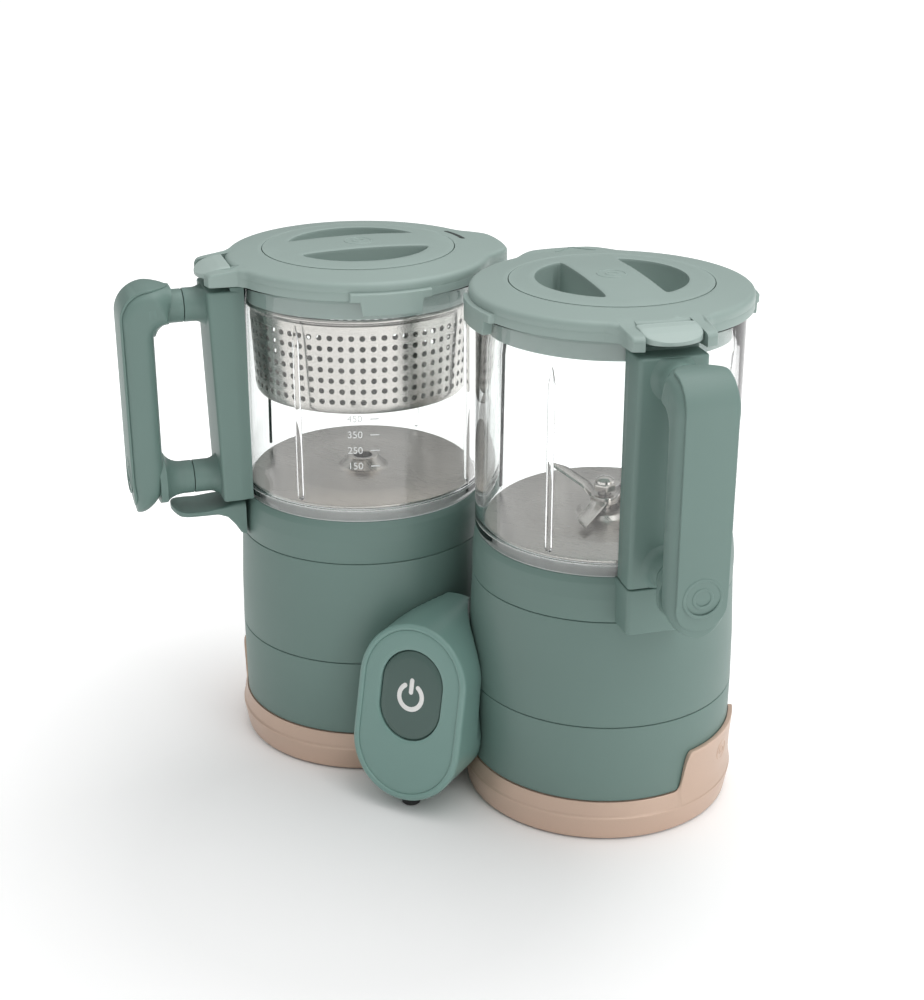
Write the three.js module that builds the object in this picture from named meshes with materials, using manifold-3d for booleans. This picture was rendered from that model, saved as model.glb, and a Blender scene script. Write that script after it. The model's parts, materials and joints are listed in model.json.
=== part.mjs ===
// Two-tower baby food maker: a steamer and a blender standing on one base, each with a lidded glass jar.
// Millimetres, +Z up, +X to the blender's side, -Y to the front where the control button is.
import * as THREE from "three";
import { mergeVertices } from "three/addons/utils/BufferGeometryUtils.js";
import Module from "manifold-3d";

const wasm = await Module();
wasm.setup();

// ---- driving dimensions ----
const SIDES = 32; // facets round a tower
const INNER_SIDES = 20; // facets round a piece that is out of sight
const GAP = 0.3; // clearance kept between pieces that touch
const TOWER_X = 72; // each tower's axis, left and right of the middle
const AXIS_Y = 14.35; // the towers' axes behind the middle of the footprint
const HANDLE_TURN = 46; // degrees from the long axis towards the front
const TAB_TURN = 89; // degrees from the handle to each side hook of the lid

const FOOT_HEIGHT = 1; // rubber pads stand this far proud
const RING_TOP = 22.2;
const RING_RADIUS = 71.5; // widest place of the foot ring
const PANEL_TOP = 43.5;
const LOW_SEAM = 64.2;
const HIGH_SEAM = 121.3;
const COLLAR_TOP = 144.4;
const SHELL_RADIUS = 69; // at the low seam, the widest place
const COLLAR_RADIUS = 67.2;
const SHELL_WALL = 3.2;

const GLASS_BOTTOM = 144.8;
const GLASS_TOP = 262.2;
const GLASS_RADIUS = 66;
const GLASS_WALL = 4;
const GLASS_FLOOR = 149; // top of the thick glass foot
const RIB_TOP = 247;
const RIB_DEPTH = 1.7;
const RIB_WIDTH = 3.4;

const STRUT_WIDTH = 34;
const STRUT_OUTER = 83.4; // from the tower's axis, at the top
const STRUT_FOOT = 80.2; // the same at the bottom
const STRUT_BOTTOM = 145.5;
const STRUT_TOP = 261.3;
const STUB_RADIUS = 8.75;
const STUB_HEIGHTS = [156, 250];
const STUB_SEAM = 93.6;
const GRIP_INNER = 108.5;
const GRIP_OUTER = 127.4;
const GRIP_WIDTH = 32;
const COVER_WIDTH = 25;
const COVER_HEIGHT = 92;
const COVER_SEAT = 125.9;

const LID_BOTTOM = 263.4;
const LID_TOP = 272;
const CAP_EDGE_TOP = 274.9; // the lid is gently domed
const CAP_CROWN = 277.3;
const LID_RADIUS = 69.5;
const SKIRT_RADIUS = 61.2;
const SKIRT_BOTTOM = 253.4;
const CAP_RADIUS = 50;
const CAP_CHORD = 14.5; // half width of the bar between the two finger wells
const WELL_RADIUS = 37.5;
const WELL_DEPTH = 8.5;
const SPOUT_REACH = 79;
const LATCH_REACH = 84;
const LATCH_WIDTH = 42;
const FLAP_WIDTH = 29;

const BASKET_TOP = 251;
const BASKET_FLOOR = 200;
const BASKET_RADIUS = 59.3;

const POD_WIDTH = 62.4;
const POD_HEIGHT = 92.6; // along the leaning face
const POD_BOTTOM = 9.9;
const POD_LEAN = 13.6; // degrees the front face leans back
const POD_FRONT = 89.6; // the face's foot, ahead of the towers' axes
const BUTTON_WIDTH = 35.2;
const BUTTON_HEIGHT = 47;
const BUTTON_RISE = 8.3; // the button's middle above the face's middle

const DECK_TOP = 131;
const BLADE_HEIGHT = 160;

// ---- solids ----
// A three.js geometry as a manifold solid, with only the positions kept.
function solid(geometry) {
  const bare = geometry.clone();
  bare.deleteAttribute("normal");
  bare.deleteAttribute("uv");
  const merged = mergeVertices(bare, 1e-4);
  return new wasm.Manifold(
    new wasm.Mesh({
      numProp: 3,
      vertProperties: new Float32Array(merged.getAttribute("position").array),
      triVerts: new Uint32Array(merged.index.array),
    }),
  );
}

// A manifold solid as a three.js geometry.
function geometryOf(body) {
  const mesh = body.getMesh();
  const geometry = new THREE.BufferGeometry();
  geometry.setAttribute("position", new THREE.BufferAttribute(mesh.vertProperties, 3));
  geometry.setIndex(new THREE.BufferAttribute(mesh.triVerts, 1));
  const flat = geometry.toNonIndexed();
  flat.computeVertexNormals();
  return flat;
}

// A profile of [radius, height] points, outer wall upwards, turned about the Z axis.
function turned(profile, sides = SIDES) {
  const points = profile.map(([r, z]) => new THREE.Vector2(r, z));
  return solid(new THREE.LatheGeometry(points, sides).rotateX(Math.PI / 2));
}

// A ring: a closed profile turned about the Z axis.
const ring = (profile, sides = SIDES) => turned([...profile, profile[0]], sides);

// A plain disc or tube between two heights.
function disc(radius, low, high, sides = SIDES) {
  return turned([[0, low], [radius, low], [radius, high], [0, high]], sides);
}
function tube(inner, outer, low, high, sides = SIDES) {
  return ring([[inner, low], [outer, low], [outer, high], [inner, high]], sides);
}

// An outline drawn as (along X, up Z) and given a width across Y, centred.
function upright(shape, width, detail = 6) {
  const settings = { depth: width, bevelEnabled: false, curveSegments: detail };
  return solid(new THREE.ExtrudeGeometry(shape, settings).translate(0, 0, -width / 2).rotateX(Math.PI / 2));
}

// An outline drawn as (along X, across Y) and raised from one height to another.
function raised(shape, low, high, detail = 6) {
  const settings = { depth: high - low, bevelEnabled: false, curveSegments: detail };
  return solid(new THREE.ExtrudeGeometry(shape, settings).translate(0, 0, low));
}

function box(x0, x1, y0, y1, z0, z1) {
  const geometry = new THREE.BoxGeometry(x1 - x0, y1 - y0, z1 - z0);
  return solid(geometry.translate((x0 + x1) / 2, (y0 + y1) / 2, (z0 + z1) / 2));
}

// A round bar along X.
function bar(radius, x0, x1, z, sides = 16) {
  const geometry = new THREE.CylinderGeometry(radius, radius, x1 - x0, sides);
  return solid(geometry.rotateZ(Math.PI / 2).translate((x0 + x1) / 2, 0, z));
}

function turnedBy(body, degrees) {
  return body.rotate([0, 0, degrees]);
}

// A stadium standing up in the (first, second) plane of a shape.
function stadium(width, height, x = 0, y = 0) {
  const r = width / 2;
  const straight = height / 2 - r;
  const shape = new THREE.Shape();
  shape.absarc(x, y + straight, r, 0, Math.PI, false);
  shape.absarc(x, y - straight, r, Math.PI, 2 * Math.PI, false);
  shape.closePath();
  return shape;
}

function roundedRectangle(x0, x1, y0, y1, r) {
  const shape = new THREE.Shape();
  shape.absarc(x1 - r, y1 - r, r, 0, Math.PI / 2, false);
  shape.absarc(x0 + r, y1 - r, r, Math.PI / 2, Math.PI, false);
  shape.absarc(x0 + r, y0 + r, r, Math.PI, 1.5 * Math.PI, false);
  shape.absarc(x1 - r, y0 + r, r, 1.5 * Math.PI, 2 * Math.PI, false);
  shape.closePath();
  return shape;
}

// ---- finishes ----
const finish = (color, roughness, metalness = 0, extra = {}) =>
  new THREE.MeshStandardMaterial({ color, roughness, metalness, ...extra });
const GREEN = finish(0x6f8a80, 0.5);
const PALE_GREEN = finish(0x9fb5ac, 0.45);
const POD_GREEN = finish(0x6f9187, 0.4);
const DARK_GREEN = finish(0x50675f, 0.4);
const BRONZE = finish(0xbe9b87, 0.5, 0.1);
const STEEL = finish(0xb8b4ae, 0.3, 1);
const GLASS = finish(0xf4f8f8, 0.05, 0, { transparent: true, opacity: 0.3 });
const RUBBER = finish(0x2a2c2b, 0.9);
const SILICONE = finish(0xd8d4cc, 0.7);
const INNER_PLASTIC = finish(0x3c4442, 0.7);
const BOARD = finish(0x2f6b4a, 0.6);

// ---- groups: each tower's own frame, and the frame of its handle ----
const model = new THREE.Group();
const towers = {};
for (const [side, sign] of [["left", -1], ["right", 1]]) {
  const tower = new THREE.Group();
  tower.position.set(sign * TOWER_X, AXIS_Y, 0);
  const outward = new THREE.Group();
  outward.rotation.z = sign > 0 ? 0 : Math.PI;
  const handle = new THREE.Group();
  handle.rotation.z = THREE.MathUtils.degToRad(sign > 0 ? -HANDLE_TURN : 180 + HANDLE_TURN);
  tower.add(outward, handle);
  model.add(tower);
  towers[side] = { tower, outward, handle };
}

function place(group, name, body, material) {
  const mesh = new THREE.Mesh(geometryOf(body), material);
  mesh.name = name;
  group.add(mesh);
}

// ---- base: foot rings, covers, shells, collars and decks ----
// The foot ring carries a raised panel with S-shaped shoulders on its outer side.
function footRing() {
  const wall = ring([
    [67.8, FOOT_HEIGHT], [70.2, FOOT_HEIGHT], [RING_RADIUS, 14], [69.7, RING_TOP], [67.8, RING_TOP],
  ]);
  const outline = new THREE.Shape();
  outline.moveTo(-36, 15);
  outline.lineTo(36, 15);
  outline.lineTo(36, RING_TOP);
  outline.bezierCurveTo(31.5, RING_TOP, 33, PANEL_TOP, 27.5, PANEL_TOP);
  outline.lineTo(-27.5, PANEL_TOP);
  outline.bezierCurveTo(-33, PANEL_TOP, -31.5, RING_TOP, -36, RING_TOP);
  outline.closePath();
  const slab = upright(outline, 30).rotate([0, 0, 90]).translate([65, 0, 0]);
  const skin = ring([[69, 14.5], [71.3, 14.5], [71.2, RING_TOP], [71.5, PANEL_TOP + 1], [69.7, PANEL_TOP + 1],
    [69.5, RING_TOP + 0.2], [69, RING_TOP]]);
  return wall.add(skin.intersect(slab));
}

function bottomCover() {
  const screw = bar(3.4, -1, 1, 0, 12).rotate([0, 90, 0]).translate([52, 0, 2.5]);
  const screws = [90, 210, 330].map((a) => turnedBy(screw, a));
  let plate = disc(67.3, FOOT_HEIGHT + 0.3, 4.2);
  for (const screw of screws) plate = plate.subtract(screw.scale([1, 1, 4]).translate([0, 0, -7.5]));
  return plate;
}

function rubberFoot() {
  return turned([[0, 0], [8, 0], [8, 0.9], [3, 1], [3, 6], [0, 6]], 12);
}

function lowerShell() {
  return ring([
    [64, 4.6], [67.3, 4.6], [67.3, RING_TOP + GAP], [68.6, RING_TOP + GAP],
    [SHELL_RADIUS, LOW_SEAM], [SHELL_RADIUS - SHELL_WALL, LOW_SEAM],
  ]);
}

function upperShell() {
  const low = LOW_SEAM + GAP;
  return ring([
    [SHELL_RADIUS - SHELL_WALL, low], [SHELL_RADIUS, low], [68.5, 92],
    [67.2, HIGH_SEAM], [67.2 - SHELL_WALL, HIGH_SEAM],
  ]);
}

function collar() {
  return ring([
    [63.9, HIGH_SEAM + GAP], [COLLAR_RADIUS, HIGH_SEAM + GAP], [COLLAR_RADIUS, 140],
    [65.2, COLLAR_TOP], [63.9, COLLAR_TOP],
  ]);
}

// The blender's collar carries the bracket that the jar's handle stands on.
function bracket() {
  const outline = roundedRectangle(60, STRUT_FOOT, HIGH_SEAM + GAP, STRUT_BOTTOM - 0.5, 2);
  return upright(outline, STRUT_WIDTH, 3).subtract(disc(COLLAR_RADIUS - 0.8, 100, 160));
}

function deck(hole) {
  return ring([[hole, DECK_TOP - 5], [63.4, DECK_TOP - 5], [63.4, DECK_TOP], [hole, DECK_TOP]]);
}

for (const [side, { tower, outward, handle }] of Object.entries(towers)) {
  const leftSide = side === "left";
  place(outward, `foot_ring_${side}`, footRing(), BRONZE);
  place(tower, `bottom_cover_${side}`, bottomCover(), INNER_PLASTIC);
  [90, 210, 330].forEach((a, i) => {
    place(tower, `rubber_foot_${side}_${i + 1}`, turnedBy(rubberFoot().translate([52, 0, 0]), a), RUBBER);
  });
  const cableHole = turnedBy(bar(4.9, 50, 80, 34), 90);
  place(tower, `lower_shell_${side}`, leftSide ? lowerShell().subtract(cableHole) : lowerShell(), GREEN);
  place(tower, `upper_shell_${side}`, upperShell(), GREEN);
  place(handle, `collar_${side}`, leftSide ? collar() : collar().add(bracket()), GREEN);
  const hole = disc(2.9, 100, 140, 16).translate([-50, 0, 0]);
  place(handle, `deck_${side}`, deck(leftSide ? 32.5 : 14).subtract(hole), INNER_PLASTIC);
  const pin = turned([[0, 118], [4, 118], [4, 120], [2.4, 120.5], [2.4, DECK_TOP], [0, DECK_TOP]], 12);
  place(handle, `jar_sensor_pin_${side}`, pin.translate([-50, 0, 0]), SILICONE);
}

// ---- inside the steamer: water dish, heating ring and thermostat ----
const left = towers.left;
place(left.tower, "boiler_dish", turned([
  [0, 119], [20, 119], [31.8, 126], [31.8, DECK_TOP], [30.4, DECK_TOP], [30.2, 127], [19.4, 120.4], [0, 120.4],
], INNER_SIDES), STEEL);
place(left.tower, "heating_ring", tube(16, 24, 112.5, 118.5, INNER_SIDES), STEEL);
const thermostat = turned([[0, 106], [10, 106], [10, 110], [6, 113], [6, 118.6], [0, 118.6]], 12);
place(left.tower, "thermostat", thermostat, INNER_PLASTIC);

// ---- inside the blender: motor, its mount, bearing and drive shaft ----
const right = towers.right;
const hexagon = (r, low, high) => disc(r, low, high, 6);
place(right.tower, "motor", turned([
  [0, 30], [18, 30], [30, 34], [30, 100], [22, 108], [9, 108], [9, 112], [0, 112],
], INNER_SIDES), STEEL);
place(right.tower, "motor_mount", tube(31, 62.8, 96, 101, INNER_SIDES), INNER_PLASTIC);
place(right.tower, "motor_bearing", tube(4.4, 13.6, 118, 125, 16), STEEL);
place(right.tower, "drive_shaft", disc(4, 112.4, 133, 16).add(hexagon(8, 130.5, 139)), STEEL);

// ---- the steamer's release lever on its pin ----
function releaseLever() {
  const outline = new THREE.Shape();
  outline.moveTo(67.8, 122.5);
  outline.lineTo(71, 124.5);
  outline.quadraticCurveTo(78, 136, 82, 137);
  outline.lineTo(103.5, 137.6);
  outline.quadraticCurveTo(106.8, 138, 106.6, 141.6);
  outline.quadraticCurveTo(101, 139.6, 92, 139.6);
  outline.quadraticCurveTo(80, 139.8, 74, 143.4);
  outline.lineTo(67.6, 143.4);
  outline.closePath();
  const plan = roundedRectangle(55, 106.8, -13, 13, 9);
  const paddle = upright(outline, 26, 5).intersect(raised(plan, 110, 150, 4));
  return paddle.subtract(disc(COLLAR_RADIUS + 0.5, 100, 160));
}
const pinAcross = (r, y) => solid(new THREE.CylinderGeometry(r, r, 2 * y, 16)).translate([70.5, 0, 139]);
place(left.handle, "release_lever", releaseLever().subtract(pinAcross(1.9, 20)), GREEN);
place(left.handle, "lever_pin", pinAcross(1.5, 12), STEEL);

// ---- control pod between the towers ----
// The pod is drawn upright at its face and leans back about its foot.
const podCentre = POD_BOTTOM + POD_HEIGHT / 2;
const podDrop = Math.cos(THREE.MathUtils.degToRad(POD_LEAN)); // height that a length on the face has
const podLean = (body) =>
  body.translate([0, 0, -POD_BOTTOM]).rotate([-POD_LEAN, 0, 0]).translate([0, AXIS_Y - POD_FRONT, POD_BOTTOM]);
const podSlab = (width, height, front, back, z = podCentre) =>
  upright(stadium(width, height, 0, z), back - front, 8).translate([0, (front + back) / 2, 0]);

function podHousing() {
  const valley = [-1, 1].map((s) => ring([
    [30, -5], [RING_RADIUS + 0.5, -5], [RING_RADIUS + 0.5, RING_TOP + 0.4],
    [SHELL_RADIUS + 0.5, RING_TOP + 0.4], [SHELL_RADIUS + 0.5, 130], [30, 130],
  ]).add(disc(40, -5, 130)).translate([s * TOWER_X, AXIS_Y, 0]));
  const outline = stadium(POD_WIDTH, POD_HEIGHT * podDrop, 0, POD_BOTTOM + (POD_HEIGHT * podDrop) / 2);
  const prism = upright(outline, 66, 8).translate([0, AXIS_Y - POD_FRONT + 33, 0]);
  let body = prism.intersect(podLean(box(-60, 60, 0, 120, -60, 160)));
  for (const cut of valley) body = body.subtract(cut);
  const hollow = podLean(podSlab(POD_WIDTH - 6, POD_HEIGHT - 6, -2, 11));
  return body.subtract(hollow);
}
place(model, "pod_housing", podHousing(), POD_GREEN);
const faceWidth = POD_WIDTH - 6.8;
const faceHeight = POD_HEIGHT - 6.8;
const buttonZ = podCentre + BUTTON_RISE;
const buttonHole = podSlab(BUTTON_WIDTH + 1, BUTTON_HEIGHT + 1, -5, 20, buttonZ);
place(model, "pod_face", podLean(podSlab(faceWidth, faceHeight, 1, 4).subtract(buttonHole)), POD_GREEN);
place(model, "control_button", podLean(
  podSlab(BUTTON_WIDTH, BUTTON_HEIGHT, 0.4, 5.5, buttonZ)), DARK_GREEN);
place(model, "control_board", podLean(podSlab(44, 76, 8, 9.6)), BOARD);
place(model, "pod_foot", turned([[0, 0], [6, 0], [7, 1], [7, 9.5], [0, 9.5]], 16)
  .translate([0, AXIS_Y - POD_FRONT + 12, 0]), RUBBER);
const inletBody = bar(7, 69.3, 71.3, 34).add(bar(4.5, 60, 70, 34));
place(left.tower, "power_inlet", turnedBy(inletBody, 90), INNER_PLASTIC);

// ---- jars ----
function glassJar() {
  const inner = GLASS_RADIUS - GLASS_WALL;
  let jar = ring([
    [56, GLASS_BOTTOM], [64.8, GLASS_BOTTOM], [GLASS_RADIUS, GLASS_BOTTOM + 1.4], [GLASS_RADIUS, GLASS_TOP],
    [inner, GLASS_TOP], [inner, GLASS_FLOOR], [56, GLASS_FLOOR],
  ]);
  const outline = new THREE.Shape();
  outline.moveTo(inner + 1, 153);
  outline.lineTo(inner + 1, RIB_TOP);
  outline.lineTo(inner - RIB_DEPTH, RIB_TOP - 5);
  outline.lineTo(inner - RIB_DEPTH, 153);
  outline.closePath();
  const rib = upright(outline, RIB_WIDTH);
  for (const a of [45, 135, 225, 315]) jar = jar.add(turnedBy(rib, a));
  return jar;
}

function jarBase(hole) {
  return ring([
    [hole, 140], [60, 140], [60, DECK_TOP + 0.4], [63.2, DECK_TOP + 0.4], [63.2, 144], [hole, 144],
  ], INNER_SIDES);
}

function handleStrut() {
  const outline = new THREE.Shape();
  outline.moveTo(50, STRUT_BOTTOM);
  outline.lineTo(STRUT_FOOT - 2, STRUT_BOTTOM);
  outline.quadraticCurveTo(STRUT_FOOT, STRUT_BOTTOM, STRUT_FOOT + 0.1, STRUT_BOTTOM + 2);
  outline.lineTo(STRUT_OUTER, STRUT_TOP);
  outline.lineTo(50, STRUT_TOP);
  outline.closePath();
  let body = upright(outline, STRUT_WIDTH, 3).subtract(disc(GLASS_RADIUS + 0.5, 100, 300));
  for (const z of STUB_HEIGHTS) {
    const flare = solid(new THREE.CylinderGeometry(STUB_RADIUS, STUB_RADIUS + 4, 4, 24));
    const face = STRUT_FOOT + ((STRUT_OUTER - STRUT_FOOT) * (z - STRUT_BOTTOM)) / (STRUT_TOP - STRUT_BOTTOM);
    body = body.add(flare.rotate([0, 0, -90]).translate([face + 1.8, 0, z]));
    body = body.add(bar(STUB_RADIUS, face - 1, STUB_SEAM, z));
  }
  return body.intersect(box(50, 100, -40, 40, STRUT_BOTTOM, STRUT_TOP));
}

function handleGrip() {
  const outline = new THREE.Shape();
  outline.moveTo(124.4, 140);
  outline.quadraticCurveTo(GRIP_OUTER - 0.4, 149, GRIP_OUTER - 0.2, 158);
  outline.lineTo(GRIP_OUTER, 244);
  outline.quadraticCurveTo(GRIP_OUTER, 258, 114, 261.5);
  outline.quadraticCurveTo(106, 263, 99, 261);
  outline.quadraticCurveTo(99, 256, 101, 250);
  outline.lineTo(GRIP_INNER - 2, 241);
  outline.quadraticCurveTo(GRIP_INNER, 238, GRIP_INNER, 232);
  outline.lineTo(GRIP_INNER, 172);
  outline.quadraticCurveTo(GRIP_INNER, 160, 105, 152);
  outline.quadraticCurveTo(112, 150, 116, 145);
  outline.quadraticCurveTo(119, 140.5, 124.4, 140);
  const plan = roundedRectangle(99, GRIP_OUTER, -GRIP_WIDTH / 2, GRIP_WIDTH / 2, 7);
  let body = upright(outline, GRIP_WIDTH, 3).intersect(raised(plan, 130, 270, 2));
  for (const z of STUB_HEIGHTS) {
    body = body.add(bar(STUB_RADIUS, STUB_SEAM + GAP, 112, z));
  }
  const pocket = coverPlate(COVER_WIDTH + 0.8, COVER_HEIGHT + 0.8, COVER_SEAT - GAP, GRIP_OUTER + 1);
  return body.subtract(pocket);
}

// The long inset panel on the outside of the grip, between two distances from the tower's axis.
function coverPlate(width, height, inner, outer) {
  const plate = upright(stadium(width, height, 0, 202), outer - inner, 6).rotate([0, 0, 90]);
  return plate.translate([(inner + outer) / 2, 0, 0]);
}

for (const [side, { handle }] of Object.entries(towers)) {
  place(handle, `glass_jar_${side}`, glassJar(), GLASS);
  place(handle, `jar_base_${side}`, jarBase(side === "left" ? 34 : 14), INNER_PLASTIC);
  place(handle, `handle_strut_${side}`, handleStrut(), GREEN);
  place(handle, `handle_grip_${side}`, handleGrip(), GREEN);
  const cover = coverPlate(COVER_WIDTH, COVER_HEIGHT, COVER_SEAT, GRIP_OUTER - 0.2);
  place(handle, `grip_cover_${side}`, cover, PALE_GREEN);
  place(handle, `floor_seal_${side}`, tube(56.8, 61, GLASS_FLOOR + GAP, 150.5, INNER_SIDES), SILICONE);
}
// The steamer's floor has a raised chimney that lets the steam up; the blender's carries the blade bearing.
place(left.handle, "steam_floor", ring([
  [5, 150.8], [61, 150.8], [61, 152], [12, 152], [8, 158], [5, 158],
], INNER_SIDES), STEEL);
place(right.handle, "blade_floor", ring([
  [7.6, 144.6], [13, 144.6], [13, 150.8], [61, 150.8], [61, 152], [13, 152], [12, 155], [7.6, 155],
], INNER_SIDES), STEEL);
place(right.handle, "blade_bearing", tube(3.4, 7, 145, 154.6, 16), STEEL);

// The blade shaft ends below in the socket that drops over the drive shaft's hexagon.
const socket = disc(11, 133.4, 143.4, 16).subtract(hexagon(9, 133, 140));
place(right.tower, "blade_shaft", socket.add(disc(3, 143, 168, 16)), STEEL);
function bladeSet() {
  const outline = new THREE.Shape();
  outline.moveTo(-6, -4);
  outline.lineTo(20, -5);
  outline.quadraticCurveTo(29, -4, 31, 4);
  outline.lineTo(-6, 4);
  outline.closePath();
  const blade = raised(outline, -0.8, 0.8, 4);
  let set = disc(7, BLADE_HEIGHT - 2, BLADE_HEIGHT + 2, 16);
  [24, -8, 24, -8].forEach((tilt, i) => {
    set = set.add(turnedBy(blade.rotate([0, -tilt, 0]).translate([0, 0, BLADE_HEIGHT]), 90 * i));
  });
  return set.subtract(disc(3.4, 130, 180, 16));
}
place(right.tower, "blade_set", bladeSet(), STEEL);
const nut = turned([[0, 164.4], [6, 164.4], [6, 168], [4, 171], [0, 171]], 6);
place(right.tower, "blade_nut", nut.subtract(disc(3.4, 160, 168.4, 16)), STEEL);

// ---- steaming basket ----
place(left.handle, "steam_basket", turned([
  [0, BASKET_FLOOR], [56.5, BASKET_FLOOR], [BASKET_RADIUS, RIB_TOP + 0.4], [61.2, RIB_TOP + 0.4],
  [61.2, BASKET_TOP], [BASKET_RADIUS - 1, BASKET_TOP], [55.6, BASKET_FLOOR + 1.2], [0, BASKET_FLOOR + 1.2],
]), STEEL);

// ---- lids ----
function lidPlate() {
  let body = ring([
    [57.5, SKIRT_BOTTOM], [SKIRT_RADIUS, SKIRT_BOTTOM], [SKIRT_RADIUS, LID_BOTTOM],
    [LID_RADIUS, LID_BOTTOM], [LID_RADIUS, LID_TOP - 1.6], [LID_RADIUS - 1.8, LID_TOP],
    [60, 273.6], [CAP_RADIUS + GAP + 0.1, CAP_EDGE_TOP], [CAP_RADIUS + GAP + 0.1, LID_TOP - 4],
    [40, LID_TOP - 4], [40, LID_TOP - 6.5], [57.5, LID_TOP - 6.5],
  ]);
  body = body.add(spout()).add(latchCheeks());
  for (const a of [TAB_TURN, -TAB_TURN]) body = body.add(turnedBy(sideHook(), a));
  return body;
}

// A flared nose opposite the handle.
function spout() {
  const shape = new THREE.Shape();
  shape.moveTo(-60, -30);
  shape.lineTo(-60, 30);
  shape.quadraticCurveTo(-70, 20, -74, 13);
  shape.quadraticCurveTo(-SPOUT_REACH - 2, 0, -74, -13);
  shape.quadraticCurveTo(-70, -20, -60, -30);
  return raised(shape, LID_BOTTOM - 1, LID_TOP, 6).subtract(disc(GLASS_RADIUS + 0.5, 240, LID_BOTTOM));
}

// A hook that hangs over the glass rim at each side.
function sideHook() {
  const band = tube(67, 72, 255.5, LID_TOP - 2);
  const low = box(60, 80, -15, 15, 250, 264);
  const high = box(60, 80, -21, 21, LID_BOTTOM + 0.2, LID_TOP);
  return band.intersect(low.add(high));
}

// Two cheeks over the handle hold the flap between them.
function latchCheeks() {
  const half = LATCH_WIDTH / 2;
  const outline = new THREE.Shape();
  outline.moveTo(64, 262.2);
  outline.lineTo(LATCH_REACH - 1, 262.2);
  outline.quadraticCurveTo(LATCH_REACH + 0.4, 268, 79, 270.6);
  outline.quadraticCurveTo(76, 271.6, 64, 271.6);
  outline.closePath();
  const slot = box(69.8, 95, -FLAP_WIDTH / 2 - 0.5, FLAP_WIDTH / 2 + 0.5, 263.4, 280);
  return upright(outline, 2 * half, 4).subtract(slot).subtract(disc(GLASS_RADIUS + 0.5, 240, LID_BOTTOM))
    .subtract(disc(60, 240, 300));
}

function latchFlap() {
  const outline = new THREE.Shape();
  outline.moveTo(70.2, 267);
  outline.lineTo(86, 265);
  outline.lineTo(86, 267.6);
  outline.quadraticCurveTo(80, 270.4, 74, 271.4);
  outline.lineTo(70.2, 271.6);
  outline.closePath();
  const plan = new THREE.Shape();
  const half = FLAP_WIDTH / 2;
  plan.moveTo(60, -half);
  plan.lineTo(78, -half);
  plan.quadraticCurveTo(86, -8, 86.4, 0);
  plan.quadraticCurveTo(86, 8, 78, half);
  plan.lineTo(60, half);
  plan.closePath();
  return upright(outline, FLAP_WIDTH, 3).intersect(raised(plan, 255, 280, 4));
}

// The round cap in the lid's middle, with two D-shaped finger wells either side of a bar.
function lidCap() {
  let body = turned([
    [0, LID_TOP - WELL_DEPTH - 1.5], [39.4, LID_TOP - WELL_DEPTH - 1.5], [39.4, LID_TOP - 3.6],
    [CAP_RADIUS, LID_TOP - 3.6], [CAP_RADIUS, CAP_EDGE_TOP - 0.5], [CAP_RADIUS - 0.5, CAP_EDGE_TOP],
    [38, 275.8], [20, 276.9], [0, CAP_CROWN],
  ]);
  const start = Math.asin(CAP_CHORD / WELL_RADIUS);
  for (const s of [1, -1]) {
    const well = new THREE.Shape();
    const from = s > 0 ? start : Math.PI + start;
    well.absarc(0, 0, WELL_RADIUS, from, from + Math.PI - 2 * start, false);
    well.closePath();
    body = body.subtract(raised(well, LID_TOP - WELL_DEPTH, CAP_CROWN + 2, 12));
  }
  return body;
}

for (const [side, { handle }] of Object.entries(towers)) {
  place(handle, `lid_${side}`, lidPlate(), PALE_GREEN);
  place(handle, `lid_cap_${side}`, lidCap(), PALE_GREEN);
  place(handle, `latch_flap_${side}`, latchFlap(), PALE_GREEN);
}

export default model;
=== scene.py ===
import json
import math

import bmesh
import bpy
import numpy as np
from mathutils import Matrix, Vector


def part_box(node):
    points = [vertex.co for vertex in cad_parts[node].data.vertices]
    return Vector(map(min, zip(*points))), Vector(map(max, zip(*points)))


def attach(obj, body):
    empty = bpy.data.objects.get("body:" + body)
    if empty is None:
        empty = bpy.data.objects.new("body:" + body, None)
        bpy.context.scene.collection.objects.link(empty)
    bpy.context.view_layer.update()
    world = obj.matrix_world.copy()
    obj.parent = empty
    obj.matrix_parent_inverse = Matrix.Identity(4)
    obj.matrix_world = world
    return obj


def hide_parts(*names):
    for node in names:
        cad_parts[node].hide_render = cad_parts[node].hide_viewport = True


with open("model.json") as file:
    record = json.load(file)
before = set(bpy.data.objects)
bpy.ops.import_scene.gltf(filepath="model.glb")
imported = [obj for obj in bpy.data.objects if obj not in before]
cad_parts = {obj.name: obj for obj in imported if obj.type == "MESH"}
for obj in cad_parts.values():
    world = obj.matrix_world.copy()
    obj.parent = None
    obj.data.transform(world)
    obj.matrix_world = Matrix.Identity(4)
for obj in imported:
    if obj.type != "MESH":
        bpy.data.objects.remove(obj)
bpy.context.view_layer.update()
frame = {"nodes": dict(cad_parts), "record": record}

bl_info = {
    "name": "Baby Food Maker",
    "version": (1, 0, 0),
    "blender": (4, 5, 0),
    "location": "View3D > Sidebar > Food Maker",
    "description": "Builds the finished surfaces of a two-tower steamer and blender round its frame",
    "category": "Add Mesh",
}

MM = 0.001
SIDES = ("left", "right")
FULL_TURN = 2 * math.pi


# ---------------------------------------------------------------- places taken from the frame
def cad_box(node):
    """Lowest and highest corner of a frame node, in millimetres."""
    low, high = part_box(node)
    return np.array(low) / MM, np.array(high) / MM


def middle(node):
    low, high = cad_box(node)
    return (low + high) / 2


AXIS = {side: middle(f"upper_shell_{side}")[:2] for side in SIDES}
HANDLE = {}
for side in SIDES:
    away = AXIS[side] - middle(f"jar_sensor_pin_{side}")[:2]
    HANDLE[side] = math.atan2(away[1], away[0])
OUTWARD = {"left": math.pi, "right": 0.0}
BODY = {n: body for body, nodes in frame["record"]["behaviour"]["bodies"].items() for n in nodes}

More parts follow.
